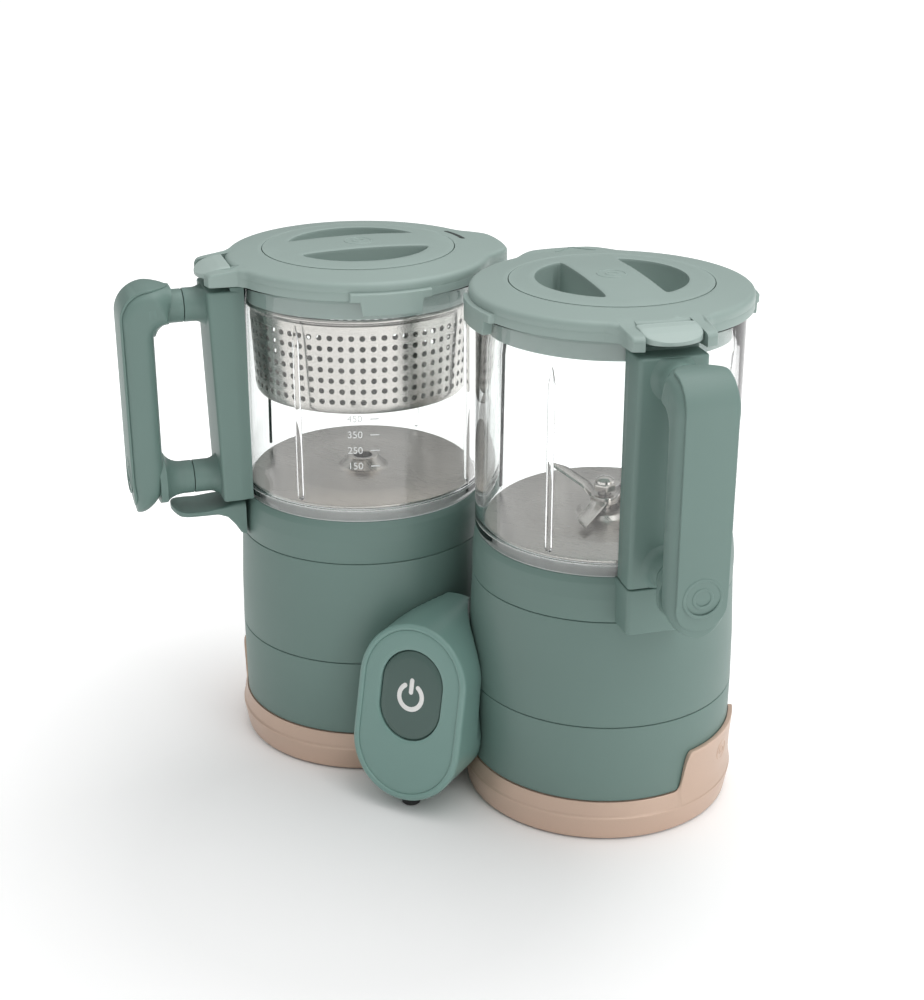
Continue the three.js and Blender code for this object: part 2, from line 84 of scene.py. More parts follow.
RING_TOP = 22.2  # where the foot ring ends away from its side panel
PANEL_TOP = 43.5  # and on its side panel
LOW_SEAM = cad_box("lower_shell_right")[1][2]
HIGH_SEAM = cad_box("upper_shell_right")[1][2]
COLLAR_LOW = cad_box("collar_left")[0][2]
COLLAR_TOP = cad_box("collar_left")[1][2]
GLASS_LOW = cad_box("glass_jar_left")[0][2]
GLASS_TOP = cad_box("glass_jar_left")[1][2]
GLASS_RADIUS = 66.0
GLASS_INNER = 62.0
GLASS_FLOOR = 149.0
STRUT_LOW = cad_box("handle_strut_left")[0][2]
STRUT_TOP = cad_box("handle_strut_left")[1][2]
LID_TOP = 271.65  # the rim; raised marks stand above it
DOME_RISE = 5.0
LID_RADIUS = 69.5
CAP_RADIUS = 50.0
WELL_DROP = 12.0  # from the rim's height to the wells' floor
LID_LOW = 262.8
SKIRT_LOW = cad_box("steam_basket")[1][2] + 0.35  # just clear of the basket rim
BASKET_LOW = cad_box("steam_basket")[0][2]
BASKET_TOP = cad_box("steam_basket")[1][2]
STUB_HEIGHTS = (156.0, 250.0)
STUB_RADIUS = 8.75
STUB_SEAM = 93.6
POD_LOW = cad_box("pod_housing")[0][2] - 1.4
POD_FACE_FOOT = cad_box("pod_housing")[0][1]  # how far forward the leaning face starts
POD_WIDTH = 62.4
POD_SLANT = 94.0  # height along the leaning face
POD_LEAN = math.radians(13.6)
POD_BACK = cad_box("pod_housing")[1][1]
BUTTON_SIZE = (35.2, 47.0)
BUTTON_RISE = 9.0


# ---------------------------------------------------------------- shapes as numpy surfaces
def rounded(corners, steps=5):
    """Outline through (x, y, radius) corners, counter-clockwise, each corner turned into an arc.
    An arc starts radius * tan(turn / 2) before its corner, and its outward normal swings evenly from
    one side's normal to the next's. Returns the points and their outward normals."""
    data = np.array([(*c, 0.0)[:3] for c in corners], float)
    at, radius = data[:, :2], data[:, 2]
    coming = at - np.roll(at, 1, 0)
    going = np.roll(at, -1, 0) - at
    coming /= np.linalg.norm(coming, axis=1, keepdims=True)
    going /= np.linalg.norm(going, axis=1, keepdims=True)
    turn = np.arctan2(coming[:, 0] * going[:, 1] - coming[:, 1] * going[:, 0], (coming * going).sum(1))
    normal = np.stack([coming[:, 1], -coming[:, 0]], 1)
    start = at - coming * (radius * np.tan(np.abs(turn) / 2))[:, None]
    bend = (np.sign(turn) * radius)[:, None]
    swing = turn[:, None] * np.linspace(0, 1, steps)
    c, s = np.cos(swing), np.sin(swing)
    normals = np.stack([normal[:, :1] * c - normal[:, 1:] * s, normal[:, :1] * s + normal[:, 1:] * c], -1)
    points = (start - bend * normal)[:, None] + bend[:, None] * normals
    return points.reshape(-1, 2), normals.reshape(-1, 2)


def stadium(width, height, x=0.0, y=0.0, steps=20):
    """A rectangle with half-round ends."""
    w, h, r = width / 2, height / 2, width / 2 - 0.001
    return rounded([(x + w, y - h, r), (x + w, y + h, r), (x - w, y + h, r), (x - w, y - h, r)], steps)


def grid(points, across=True, along=False):
    """Quads between the neighbours of a (rows, columns, 3) array. across joins each row's ends, along
    joins the last row to the first."""
    rows, columns = points.shape[:2]
    index = np.arange(rows * columns).reshape(rows, columns)
    if across:
        index = np.concatenate([index, index[:, :1]], 1)
    if along:
        index = np.concatenate([index, index[:1]], 0)
    quads = np.stack([index[:-1, :-1], index[:-1, 1:], index[1:, 1:], index[1:, :-1]], -1)
    return points.reshape(-1, 3), [quads.reshape(-1, 4)]


def capped(points):
    """A grid whose rows are closed loops, shut by one flat face at each end."""
    verts, faces = grid(points)
    rows, columns = points.shape[:2]
    first = np.arange(columns)[None, ::-1]
    last = (rows - 1) * columns + np.arange(columns)[None, :]
    return verts, [*faces, first, last]


def joined(*shapes):
    """Several shapes as one list of points and faces."""
    verts, faces, count = [], [], 0
    for v, f in shapes:
        verts.append(v)
        faces.extend(a + count for a in f)
        count += len(v)
    return np.concatenate(verts), faces


def moved(shape, change):
    return change(shape[0]), shape[1]


def spun(points, angle):
    """Points turned about the upright axis."""
    c, s = math.cos(angle), math.sin(angle)
    turn = np.array([[c, -s, 0], [s, c, 0], [0, 0, 1]])
    return points @ turn.T


def on_tower(shape, side, angle=0.0):
    """A shape drawn about a tower's axis, turned and put on that tower."""
    place = np.array([*AXIS[side], 0.0])
    return moved(shape, lambda v: spun(v, angle) + place)


def revolved(profile, sides=160, closed=True, angles=None):
    """A profile of (radius, height) points carried round the upright axis: x = r cos a, y = r sin a."""
    profile = np.asarray(profile, float)
    a = np.linspace(0, FULL_TURN, sides, endpoint=False) if angles is None else angles
    r, z = profile[:, :1], profile[:, 1:]
    return grid(np.stack([r * np.cos(a), r * np.sin(a), z + 0 * a], -1), along=closed)


def ring_of(corners, sides=160, steps=5):
    """A closed ring whose section has rounded corners."""
    return revolved(rounded(corners, steps)[0], sides)


def lathe_x(profile, height, sides=48):
    """A profile of (distance along x, radius) points carried round a level axis at a height."""
    profile = np.asarray(profile, float)
    a = np.linspace(0, FULL_TURN, sides, endpoint=False)
    x, r = profile[:, :1], profile[:, 1:]
    return grid(np.stack([x + 0 * a, r * np.cos(a), height + r * np.sin(a)], -1))


def slab(outline, low, high, edge_low=0.0, edge_high=None, steps=5):
    """An outline carried straight from low to high. Near each end it shrinks along its normals by
    edge * (1 - cos t) while it moves by edge * sin t, which rounds the edge to a quarter circle."""
    points, normals = outline
    edge_high = edge_low if edge_high is None else edge_high
    t = np.linspace(0, math.pi / 2, steps)
    start = [(edge_low * (1 - math.sin(a)), low + edge_low * (1 - math.cos(a))) for a in t]
    end = [(edge_high * (1 - math.cos(a)), high - edge_high * (1 - math.sin(a))) for a in t]
    rows = np.array(start + end)
    flat = points[None] - normals[None] * rows[:, :1, None]
    height = np.broadcast_to(rows[:, 1, None, None], (*flat.shape[:2], 1))
    return capped(np.concatenate([flat, height], -1))


def smooth(x):
    """0 to 1 with level ends: 3x^2 - 2x^3."""
    x = np.clip(x, 0, 1)
    return x * x * (3 - 2 * x)


def loft(x, half_width, low, high, power=0.35, dish=0.0, count=40):
    """Level loops one behind the other: at each x a rounded box, half_width across and from low to high.
    Its corners follow cos and sin raised to a power, and dish lowers the middle of the top."""
    a = np.linspace(0, FULL_TURN, count, endpoint=False)
    c = np.sign(np.cos(a)) * np.abs(np.cos(a)) ** power
    s = np.sign(np.sin(a)) * np.abs(np.sin(a)) ** power
    x, w, low, high = (np.broadcast_to(np.asarray(q, float), np.shape(x))[:, None]
                       for q in (x, half_width, low, high))
    y = w * c
    z = (low + high) / 2 + (high - low) / 2 * s
    z = z - np.clip(s, 0, 1) * np.reshape(dish, (-1, 1)) * (1 - c * c)
    return capped(np.stack([x + 0 * c, y, z], -1))


def bar(outer, inner, half_width, corner=6.0, steps=6):
    """Rounded-rectangle sections between two side-view lines. A section reaches from the inner to the
    outer point and half_width to each side; its four corners are quarter circles about centres set in by
    the corner radius, which is cut down where the section is thin."""
    half = np.linalg.norm(outer - inner, axis=1) / 2
    across = (outer - inner) / (2 * half[:, None])
    centre = (outer + inner) / 2
    r = np.minimum(corner, 0.96 * np.minimum(half, half_width))[:, None]
    a = np.concatenate([k * math.pi / 2 + np.linspace(0, math.pi / 2, steps) for k in range(4)])
    turn = np.repeat([[1, 1], [-1, 1], [-1, -1], [1, -1]], steps, axis=0)
    e = turn[:, 0] * (half[:, None] - r) + r * np.cos(a)
    y = turn[:, 1] * (half_width[:, None] - r) + r * np.sin(a)
    return capped(np.stack([centre[:, :1] + across[:, :1] * e, y, centre[:, 1:] + across[:, 1:] * e], -1))


def points_at(line, share):
    """Points at shares of a line's length."""
    step = np.r_[0, np.cumsum(np.linalg.norm(np.diff(line, axis=0), axis=1))]
    return np.stack([np.interp(share * step[-1], step, line[:, i]) for i in (0, 1)], 1)


def stroke(points, width, cap_steps=9):
    """The outline of a line drawn with a round pen: both sides offset by half the width, and half-round
    ends. Returns points and outward normals."""
    points = np.asarray(points, float)
    heading = np.gradient(points, axis=0)
    heading /= np.linalg.norm(heading, axis=1, keepdims=True)
    right = np.stack([heading[:, 1], -heading[:, 0]], 1)
    t = np.linspace(-math.pi / 2, math.pi / 2, cap_steps)[1:-1, None]
    end = np.cos(t) * heading[-1] - np.sin(t) * right[-1]
    start = -np.cos(t) * heading[0] + np.sin(t) * right[0]
    normals = np.concatenate([right, end, -right[::-1], start])
    centres = np.concatenate([points, np.repeat(points[-1:], len(end), 0),
                              points[::-1], np.repeat(points[:1], len(start), 0)])
    return centres + normals * width / 2, normals


def arc(radius, start, end, count=40, x=0.0, y=0.0):
    a = np.radians(np.linspace(start, end, count))
    return np.stack([x + radius * np.cos(a), y + radius * np.sin(a)], 1)


def ring_mark(radius, width, height, count=48):
    """A low raised ring: a half-round bead carried round a circle, on the plane z = 0."""
    t = np.linspace(0, math.pi, 7)
    section = np.stack([radius + width / 2 * np.cos(t), height * np.sin(t)], 1)
    sunk = np.array([[radius - width / 2, -0.3], [radius + width / 2, -0.3]])
    return revolved(np.concatenate([section, sunk]), count)


def numerals(text, size, depth):
    """Figures in the plane z = 0 to depth, read from +z."""
    curve = bpy.data.curves.new("figures", "FONT")
    curve.body = text
    curve.size = size
    curve.extrude = depth / 2
    curve.align_x = "CENTER"
    curve.align_y = "CENTER"
    holder = bpy.data.objects.new("figures", curve)
    bpy.context.scene.collection.objects.link(holder)
    mesh = bpy.data.meshes.new_from_object(holder.evaluated_get(bpy.context.evaluated_depsgraph_get()))
    verts = np.zeros(len(mesh.vertices) * 3)
    mesh.vertices.foreach_get("co", verts)
    faces = [np.array([list(p.vertices)]) for p in mesh.polygons]
    bpy.data.objects.remove(holder)
    bpy.data.meshes.remove(mesh)
    return verts.reshape(-1, 3), faces


def make_piece(name, shape, look, slot, node, stands_for=True, crease=34.0, merge=0.002):
    """Puts a shape into a mesh object that rides on a node's body and, unless told not to, stands for it."""
    verts, faces = shape
    mesh = bpy.data.meshes.new(name)
    mesh.from_pydata(verts * MM, [], [f for a in faces for f in a.tolist()])
    work = bmesh.new()
    work.from_mesh(mesh)
    bmesh.ops.remove_doubles(work, verts=work.verts, dist=merge * MM)
    bmesh.ops.dissolve_degenerate(work, dist=1e-7, edges=work.edges)
    bmesh.ops.recalc_face_normals(work, faces=work.faces)
    work.to_mesh(mesh)
    work.free()
    mesh.polygons.foreach_set("use_smooth", np.ones(len(mesh.polygons), bool))
    mesh.set_sharp_from_angle(angle=math.radians(crease))
    mesh.materials.append(finish(look))
    piece = bpy.data.objects.new(name, mesh)
    bpy.context.scene.collection.objects.link(piece)
    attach(piece, BODY[node])
    if stands_for:
        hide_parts(node)


def finished(node, shape, look, slot=None, **how):
    """The finished piece of one frame node. Its slot, named like its finish unless it says otherwise, is
    passed on but not used.
    """
    make_piece(f"{node}_finished", shape, look, slot or look, node, **how)


# ---------------------------------------------------------------- finishes
class Value:
    """A number inside a material. Arithmetic on it adds Math nodes."""

    def __init__(self, graph, socket):
        self.graph = graph
        self.socket = socket

    def maths(self, operation, *others, clamp=False):
        values = {i: v.socket if isinstance(v, Value) else v for i, v in enumerate(others)}
        node = self.graph.node("ShaderNodeMath", {"operation": operation, "use_clamp": clamp}, values)
        return Value(self.graph, node.outputs[0])

    def __add__(self, other):
        return self.maths("ADD", self, other)

    def __radd__(self, other):
        return self.maths("ADD", other, self)

    def __sub__(self, other):
        return self.maths("SUBTRACT", self, other)

    def __rsub__(self, other):
        return self.maths("SUBTRACT", other, self)

    def __mul__(self, other):
        return self.maths("MULTIPLY", self, other)

    def __rmul__(self, other):
        return self.maths("MULTIPLY", other, self)

    def __pow__(self, other):
        return self.maths("POWER", self, other)

    def clamped(self):
        return self.maths("ADD", self, 0.0, clamp=True)


class Graph:
    """A material or world's nodes, added one at a time."""

    def __init__(self, owner):
        owner.use_nodes = True
        self.tree = owner.node_tree
        self.tree.nodes.clear()

    def node(self, kind, settings=None, values=None):
        """Adds a node: its settings first, then the values or links of its sockets."""
        node = self.tree.nodes.new(kind)
        for key, value in (settings or {}).items():
            if key == "stops":
                ramp = node.color_ramp.elements
                while len(ramp) < len(value):
                    ramp.new(0.5)
                for element, (position, colour) in zip(ramp, value):
                    element.position = position
                    element.color = (*colour, 1)
            else:
                setattr(node, key, value)
        for key, value in (values or {}).items():
            if isinstance(value, Value):
                value = value.socket
            if isinstance(value, bpy.types.NodeSocket):
                self.tree.links.new(value, node.inputs[key])
            elif node.inputs[key].type == "RGBA" and len(value) == 3:
                node.inputs[key].default_value = (*value, 1)
            else:
                node.inputs[key].default_value = value
        return node

    def number(self, kind, settings=None, values=None, output=0):
        return Value(self, self.node(kind, settings, values).outputs[output])

    def object_place(self, stretch=(1, 1, 1)):
        place = self.node("ShaderNodeTexCoord").outputs["Object"]
        if stretch == (1, 1, 1):
            return place
        return self.node("ShaderNodeMapping", {}, {"Vector": place, "Scale": stretch}).outputs[0]

    def noise(self, scale, detail=3.0, stretch=(1, 1, 1), rough=0.5):
        values = {"Vector": self.object_place(stretch), "Scale": scale, "Detail": detail, "Roughness": rough}
        return self.number("ShaderNodeTexNoise", {}, values)

    def worn_edge(self, start=0.505, gain=9.0):
        """Rises from 0 on flat surface to 1 on outward edges."""
        return ((self.number("ShaderNodeNewGeometry", output="Pointiness") - start) * gain).clamped()

    def blend(self, amount, first, second):
        """Two colours mixed by a number."""
        mix = self.node("ShaderNodeMix", {"data_type": "RGBA"}, {0: amount, 6: first, 7: second})
        return mix.outputs[2]

    def bump(self, height, distance, strength=1.0):
        return self.node("ShaderNodeBump", {},
                         {"Height": height, "Distance": distance, "Strength": strength}).outputs[0]

    def surface(self, values):
        shader = self.node("ShaderNodeBsdfPrincipled", {}, values)
        return shader.outputs[0]

    def output(self, shader, kind="ShaderNodeOutputMaterial"):
        self.node(kind, {}, {"Surface": shader})


def shade(colour, factor):
    return tuple(min(1.0, c * factor) for c in colour)


def new_finish(name):
    material = bpy.data.materials.new(name)
    return material, Graph(material)


def moulded(name, colour, roughness, grain=1.0, coat=0.0):
    """Moulded plastic: broad tone changes, a fine spark-eroded grain, faint handling marks and edges
    that have rubbed paler."""
    material, g = new_finish(name)
    broad = g.noise(14.0, 4.0)
    marks = g.noise(120.0, 6.0, rough=0.7)
    grain_height = g.noise(2600.0, 2.0)
    edge = g.worn_edge()
    tone = g.blend(broad, shade(colour, 0.94), shade(colour, 1.06))
    tone = g.blend((marks - 0.58).clamped() * 0.5, tone, shade(colour, 1.25))
    tone = g.blend(edge * 0.35, tone, shade(colour, 1.45))
    rough = roughness - 0.05 + broad * 0.07 + marks * 0.06 - edge * 0.08
    height = grain_height * grain + marks * 0.6
    g.output(g.surface({
        "Base Color": tone, "Roughness": rough, "Specular IOR Level": 0.5, "Coat Weight": coat,
        "Coat Roughness": 0.25, "Normal": g.bump(height, 0.00004, 0.55),
    }))
    return material


def metallic_paint(name, colour, roughness):
    """Satin lacquer with fine metal flake under it, worn brighter along the edges."""
    material, g = new_finish(name)
    broad = g.noise(12.0, 3.0)
    flake = g.number("ShaderNodeTexVoronoi", {}, {"Vector": g.object_place(), "Scale": 3200.0}, "Distance")
    marks = g.noise(160.0, 6.0, rough=0.7)
    edge = g.worn_edge()
    tone = g.blend(broad, shade(colour, 0.95), shade(colour, 1.05))
    tone = g.blend(flake * 0.25, tone, shade(colour, 1.3))
    tone = g.blend(edge * 0.4, tone, shade(colour, 1.4))
    rough = roughness + marks * 0.08 - edge * 0.1
    g.output(g.surface({
        "Base Color": tone, "Roughness": rough, "Metallic": 0.45, "Coat Weight": 0.2,
        "Coat Roughness": 0.3, "Normal": g.bump(flake + marks * 0.5, 0.00003, 0.5),
    }))
    return material


def brushed_steel(name, colour, roughness, across=(1, 1, 26), contrast=1.0):
    """Steel brushed along one direction, with drawn lines, light water marks and rubbed edges."""
    material, g = new_finish(name)
    lines = g.noise(90.0, 6.0, across, 0.65)
    broad = g.noise(20.0, 3.0)
    edge = g.worn_edge(0.51, 8.0)
    tone = g.blend(lines, shade(colour, 1 - 0.14 * contrast), shade(colour, 1 + 0.08 * contrast))
    tone = g.blend(edge * 0.3, tone, shade(colour, 1.2))
    rough = roughness + lines * 0.16 + broad * 0.06 - 0.08
    g.output(g.surface({
        "Base Color": tone, "Roughness": rough, "Metallic": 1.0,
        "Normal": g.bump(lines, 0.00003, 0.5 * contrast),
    }))
    return material


def clear_glass(name, colour):
    """Pressed glass with faint smears and slow waves. Lamps shine straight through it."""
    material, g = new_finish(name)
    smears = g.noise(60.0, 5.0, (1, 1, 0.4))
    waves = g.noise(18.0, 1.0)
    tone = g.blend(smears, colour, shade(colour, 1.02))
    glass = g.surface({
        "Base Color": tone, "Roughness": (smears - 0.45).clamped() * 0.06, "IOR": 1.48,
        "Transmission Weight": 1.0, "Normal": g.bump(waves, 0.0002, 0.25),
    })
    rays = g.node("ShaderNodeLightPath")
    unseen = Value(g, rays.outputs["Is Shadow Ray"]).maths(
        "MAXIMUM", Value(g, rays.outputs["Is Shadow Ray"]), Value(g, rays.outputs["Is Diffuse Ray"]))
    clear = g.node("ShaderNodeBsdfTransparent", {}, {"Color": (0.97, 0.98, 0.98)}).outputs[0]
    g.output(g.node("ShaderNodeMixShader", {}, {0: unseen, 1: glass, 2: clear}).outputs[0])
    return material


def soft_rubber(name, colour, roughness=0.75):
    """Moulded rubber or silicone with dust in its fine texture."""
    material, g = new_finish(name)
    dust = g.noise(300.0, 6.0, rough=0.7)
    tone = g.blend((dust - 0.5).clamped(), colour, shade(colour, 1.6))
    g.output(g.surface({
        "Base Color": tone, "Roughness": roughness + dust * 0.12,
        "Normal": g.bump(g.noise(1500.0, 3.0) + dust, 0.00006, 0.6),
    }))
    return material


def circuit(name, colour):
    """Solder mask over faint copper tracks."""
    material, g = new_finish(name)
    tracks = g.number("ShaderNodeTexVoronoi", {"distance": "MANHATTAN"},
                      {"Vector": g.object_place(), "Scale": 260.0}, "Distance")
    lines = ((tracks - 0.5) * 8.0).clamped()
    g.output(g.surface({
        "Base Color": g.blend(lines, colour, shade(colour, 1.7)), "Roughness": 0.35 + lines * 0.15,
        "Normal": g.bump(lines, 0.00004, 0.6),
    }))
    return material


FINISHES = {}


def finish(name):
    """The named finish, made the first time it is asked for, in the colours of the panel."""
    if name in FINISHES:
        return FINISHES[name]
    colours = bpy.context.scene.food_maker_colours
    recipes = {
        "green_shell": lambda: moulded("Body_green", colours.shell, 0.46),
        "pale_green": lambda: moulded("Lid_green", colours.lid, 0.42),
        "flap_green": lambda: moulded("Flap_green", colours.flap, 0.4),
        "pod_green": lambda: moulded("Pod_green", colours.pod, 0.36, 0.6, 0.1),
        "button_green": lambda: moulded("Button_green", colours.button, 0.34, 0.5, 0.1),
        "bronze": lambda: metallic_paint("Rose_bronze", colours.bronze, 0.4),
        "steel": lambda: brushed_steel("Brushed_steel", colours.steel, 0.22),
        "drawn_steel": lambda: brushed_steel("Drawn_steel", colours.steel, 0.26, (0.8, 40, 1), 0.4),
        # pale grey for jar bases, seals and spacer rings, kept pale as a painted highlight so the glass foot
        # above them reads as a bright band
        "foot_highlight_grey": lambda: soft_rubber("Spacer_painted_highlight", colours.spacer, 0.4),
        "polished": lambda: brushed_steel("Polished_steel", colours.steel, 0.14, (1, 1, 6)),
        "clear_glass": lambda: clear_glass("Jar_glass", colours.glass),
        "figures": lambda: moulded("Moulded_figures", colours.figures, 0.3),
        "black_rubber": lambda: soft_rubber("Foot_rubber", colours.rubber),
        "silicone": lambda: soft_rubber("Seal_silicone", colours.seal, 0.5),
        "inner_plastic": lambda: moulded("Inner_plastic", colours.inner, 0.6),
        "board": lambda: circuit("Circuit_board", (0.05, 0.22, 0.11)),
        "mark": lambda: moulded("White_print", colours.mark, 0.4, 0.3),
        # near-black copy of the body colour: painted shade that stands for the steam slot's hollow
        "painted_slot_shade": lambda: moulded("Painted_slot_shade", shade(colours.shell, 0.12), 0.7),
    }
    FINISHES[name] = recipes[name]()
    return FINISHES[name]


def refinish(node, name):
    """A frame node keeps its shape and gets a detailed finish."""
    piece = frame["nodes"][node]
    piece.data.materials.clear()
    piece.data.materials.append(finish(name))


# ---------------------------------------------------------------- settings shown in the panel
class FoodMakerSizes(bpy.types.PropertyGroup):
    """Sizes a user may change; the defaults fit the frame"""
    hole_diameter: bpy.props.FloatProperty(
        name="Basket hole", description="Diameter of each steam hole", default=3.0 * MM, unit="LENGTH")
    hole_rows: bpy.props.IntProperty(name="Hole rows", description="Rows of steam holes", default=7, min=1)
    hole_columns: bpy.props.IntProperty(
        name="Hole columns", description="Steam holes round the basket", default=68, min=12)
    hole_pitch: bpy.props.FloatProperty(
        name="Row pitch", description="Distance between rows of holes", default=5.65 * MM, unit="LENGTH")
    rib_depth: bpy.props.FloatProperty(
        name="Jar rib", description="How far each rib stands into the jar", default=1.7 * MM, unit="LENGTH")
    figure_height: bpy.props.FloatProperty(
        name="Figure height", description="Height of the volume figures", default=5.2 * MM, unit="LENGTH")


def colour_setting(name, description, value):
    return bpy.props.FloatVectorProperty(
        name=name, description=description, default=value, subtype="COLOR", size=3, min=0, max=1)


class FoodMakerColours(bpy.types.PropertyGroup):
    """Colours of the finishes"""
    shell: colour_setting("Body", "Base, struts and grips", (0.142, 0.222, 0.198))
    lid: colour_setting("Lid", "Lids and caps", (0.280, 0.362, 0.335))
    flap: colour_setting("Flap", "Latch flaps", (0.360, 0.450, 0.420))
    pod: colour_setting("Pod", "Control pod", (0.185, 0.312, 0.280))
    button: colour_setting("Button", "Start button", (0.070, 0.120, 0.105))
    bronze: colour_setting("Bronze", "Foot rings", (0.570, 0.420, 0.330))
    steel: colour_setting("Steel", "Basket, floors and blades", (0.640, 0.610, 0.580))
    glass: colour_setting("Glass", "Jars", (0.960, 0.975, 0.970))
    figures: colour_setting("Figures", "Volume figures on the jars", (0.620, 0.640, 0.630))
    rubber: colour_setting("Rubber", "Feet", (0.030, 0.031, 0.030))
    seal: colour_setting("Seal", "Jar seals", (0.520, 0.500, 0.460))
    # pale as a painted highlight for the glass foot
    spacer: colour_setting("Spacer", "Rings under the glass", (0.780, 0.780, 0.770))
    inner: colour_setting("Inner plastic", "Decks and couplings", (0.055, 0.066, 0.062))
    mark: colour_setting("Mark", "Printed power sign", (0.820, 0.820, 0.800))


# ---------------------------------------------------------------- base
def foot_ring():
    """Ring section carried round the tower. Its top climbs from the ring's height to the side panel's
    along a Bezier S of |y|, and the wall's radius changes with it from a sloped band to a flared panel."""
    shoulder = np.linspace(0.34, 0.58, 64)
    a = np.concatenate([np.linspace(-math.pi, math.pi, 240, endpoint=False), shoulder, -shoulder])
    a = np.unique(np.round(a, 6))
    t = np.linspace(0, 1, 200)
    b = np.stack([(1 - t) ** 3, 3 * t * (1 - t) ** 2, 3 * t * t * (1 - t), t ** 3])
    across = np.array([36, 31.5, 33, 27.5]) @ b
    rise = np.array([0, 0, 1, 1]) @ b
    lift = np.interp(np.abs(70.5 * np.sin(a)), across[::-1], rise[::-1]) * (np.cos(a) > 0)
    extra = (PANEL_TOP - RING_TOP) * lift
    panel = smooth(extra / 6)
    top = RING_TOP + extra
    rows = [(67.8, 1), (69.0, 1), (69.4, 1.4),
            (71.2, 11.5), (71.45, 13.0), (71.4, 13.6),
            (71.1, 13.95)]
    for f in np.linspace(0.06, 1, 16):
        z = 14.1 + (top - 0.5 - 14.1) * f
        sloped = 69.35 + 1.35 * (1 - f)
        flared = np.interp(z, [14, 21, 30, 44], [71.3, 70.3, 70.5, 71.5])
        rows.append((sloped * (1 - panel) + flared * panel, z))
    edge = rows[-1][0]
    rows += [(edge - 0.15, top - 0.15), (edge - 0.45, top), (69.2, top), (69.2, RING_TOP), (67.8, RING_TOP)]
    r, z = (np.array([row[i] + 0 * a for row in rows]) for i in (0, 1))
    return grid(np.stack([r * np.cos(a), r * np.sin(a), z], -1), along=True)


class FOODMAKER_OT_foot_rings(bpy.types.Operator):
    """Bronze foot rings with their raised side panels"""
    bl_idname = "food_maker.foot_rings"
    bl_label = "Foot rings"

    def execute(self, context):
        badge = joined(ring_mark(5.2, 1.1, 0.35), ring_mark(2.2, 1.0, 0.35, 24))
        badge = moved(badge, lambda v: v + np.outer(v[:, 1] * 0.06, [0, 0, 1]))
        badge = wrapped(badge, 0.0, 32, 70.62)
        for side in SIDES:
            shape = joined(foot_ring(), badge)
            finished(f"foot_ring_{side}", on_tower(shape, side, OUTWARD[side]), "bronze")
        return {"FINISHED"}


def bracket_outline():
    return rounded([(62, -17), (80.2, -17, 2.4), (80.2, 17, 2.4), (62, 17)])


class FOODMAKER_OT_shells(bpy.types.Operator):
    """Round shells and collars of both towers, and the blender's handle bracket"""
    bl_idname = "food_maker.shells"
    bl_label = "Shells and collars"

    def execute(self, context):
        lower = ring_of([(64, 4.6), (67.3, 4.6), (67.3, RING_TOP + 0.3), (68.6, RING_TOP + 0.3, 0.2),
                         (69, LOW_SEAM, 0.55), (65.8, LOW_SEAM, 0.3)])
        upper = ring_of([(65.8, LOW_SEAM + 0.35, 0.3), (69, LOW_SEAM + 0.35, 0.55), (68.6, 90, 120),
                         (67.2, HIGH_SEAM, 0.5), (64, HIGH_SEAM, 0.3)])
        collar = ring_of([(63.9, COLLAR_LOW, 0.3), (67.25, COLLAR_LOW, 0.5), (67.25, 133.5, 5),
                          (66.35, 141.3, 3), (65, COLLAR_TOP, 0.7), (63.9, COLLAR_TOP, 0.3)])
        foot = slab(bracket_outline(), COLLAR_LOW, STRUT_LOW - 0.6, 1.0, 0.7)
        for side in SIDES:
            finished(f"lower_shell_{side}", on_tower(lower, side), "green_shell")
            finished(f"upper_shell_{side}", on_tower(upper, side), "green_shell")
            shape = joined(collar, foot) if side == "right" else collar
            finished(f"collar_{side}", on_tower(shape, side, HANDLE[side]), "green_shell")
        return {"FINISHED"}


# ---------------------------------------------------------------- control pod
def leaned(points):
    """Face coordinates (across, up the slope, depth into the pod) put on the leaning face."""
    x, s, d = points[..., 0], points[..., 1], points[..., 2]
    c, k = math.cos(POD_LEAN), math.sin(POD_LEAN)
    return np.stack([x, POD_FACE_FOOT + s * k + d * c, POD_LOW + s * c - d * k], -1)


def face_rows(outline, rows):
    """Loops of an outline on the leaning face, one for each (inset, depth)."""
    points, normals = outline
    rows = np.array(rows, float)
    flat = points[None] - normals[None] * rows[:, :1, None]
    depth = np.broadcast_to(rows[:, 1, None, None], (*flat.shape[:2], 1))
    return np.concatenate([flat, depth], -1)


def pod_housing():
    """The rim's rounded front in face coordinates, then straight level sides that stop short of both
    towers: |x| is at most tower distance - sqrt(r^2 - y^2)."""
    outline = stadium(POD_WIDTH, POD_SLANT, 0, POD_SLANT / 2, 28)
    front = leaned(face_rows(outline, [
        (3.7, 5.0), (3.7, 1.5), (3.6, 0.75), (3.3, 0.3), (2.8, 0.05), (2.2, 0), (1.5, 0.12), (0.9, 0.42),
        (0.4, 0.95), (0.1, 1.7), (0, 2.6)]))
    edge = front[-1]
    share = np.linspace(0.02, 1, 60)[:, None]
    y = edge[:, 1] + (POD_BACK - edge[:, 1]) * share
    z = edge[:, 2] + 0 * share
    radius = np.where(z < RING_TOP + 0.6, 72.0, 69.5)
    reach = radius ** 2 - (y - AXIS["left"][1]) ** 2
    limit = np.where(reach > 0, AXIS["right"][0] - np.sqrt(np.clip(reach, 0, None)), 1e3)
    x = np.clip(edge[:, 0] + 0 * share, -limit, limit)
    return capped(np.concatenate([front, np.stack([x, y, z], -1)]))


def power_sign():
    """A three-quarter ring open at the top with a short bar in the gap."""
    ring = slab(stroke(arc(6.6, 125, 415, 60), 2.5), 0, 0.25, 0.0, 0.12, 3)
    line = slab(stroke([(0, 2.4), (0, 5.4), (0, 8.6)], 2.5), 0, 0.25, 0.0, 0.12, 3)
    return joined(ring, line)


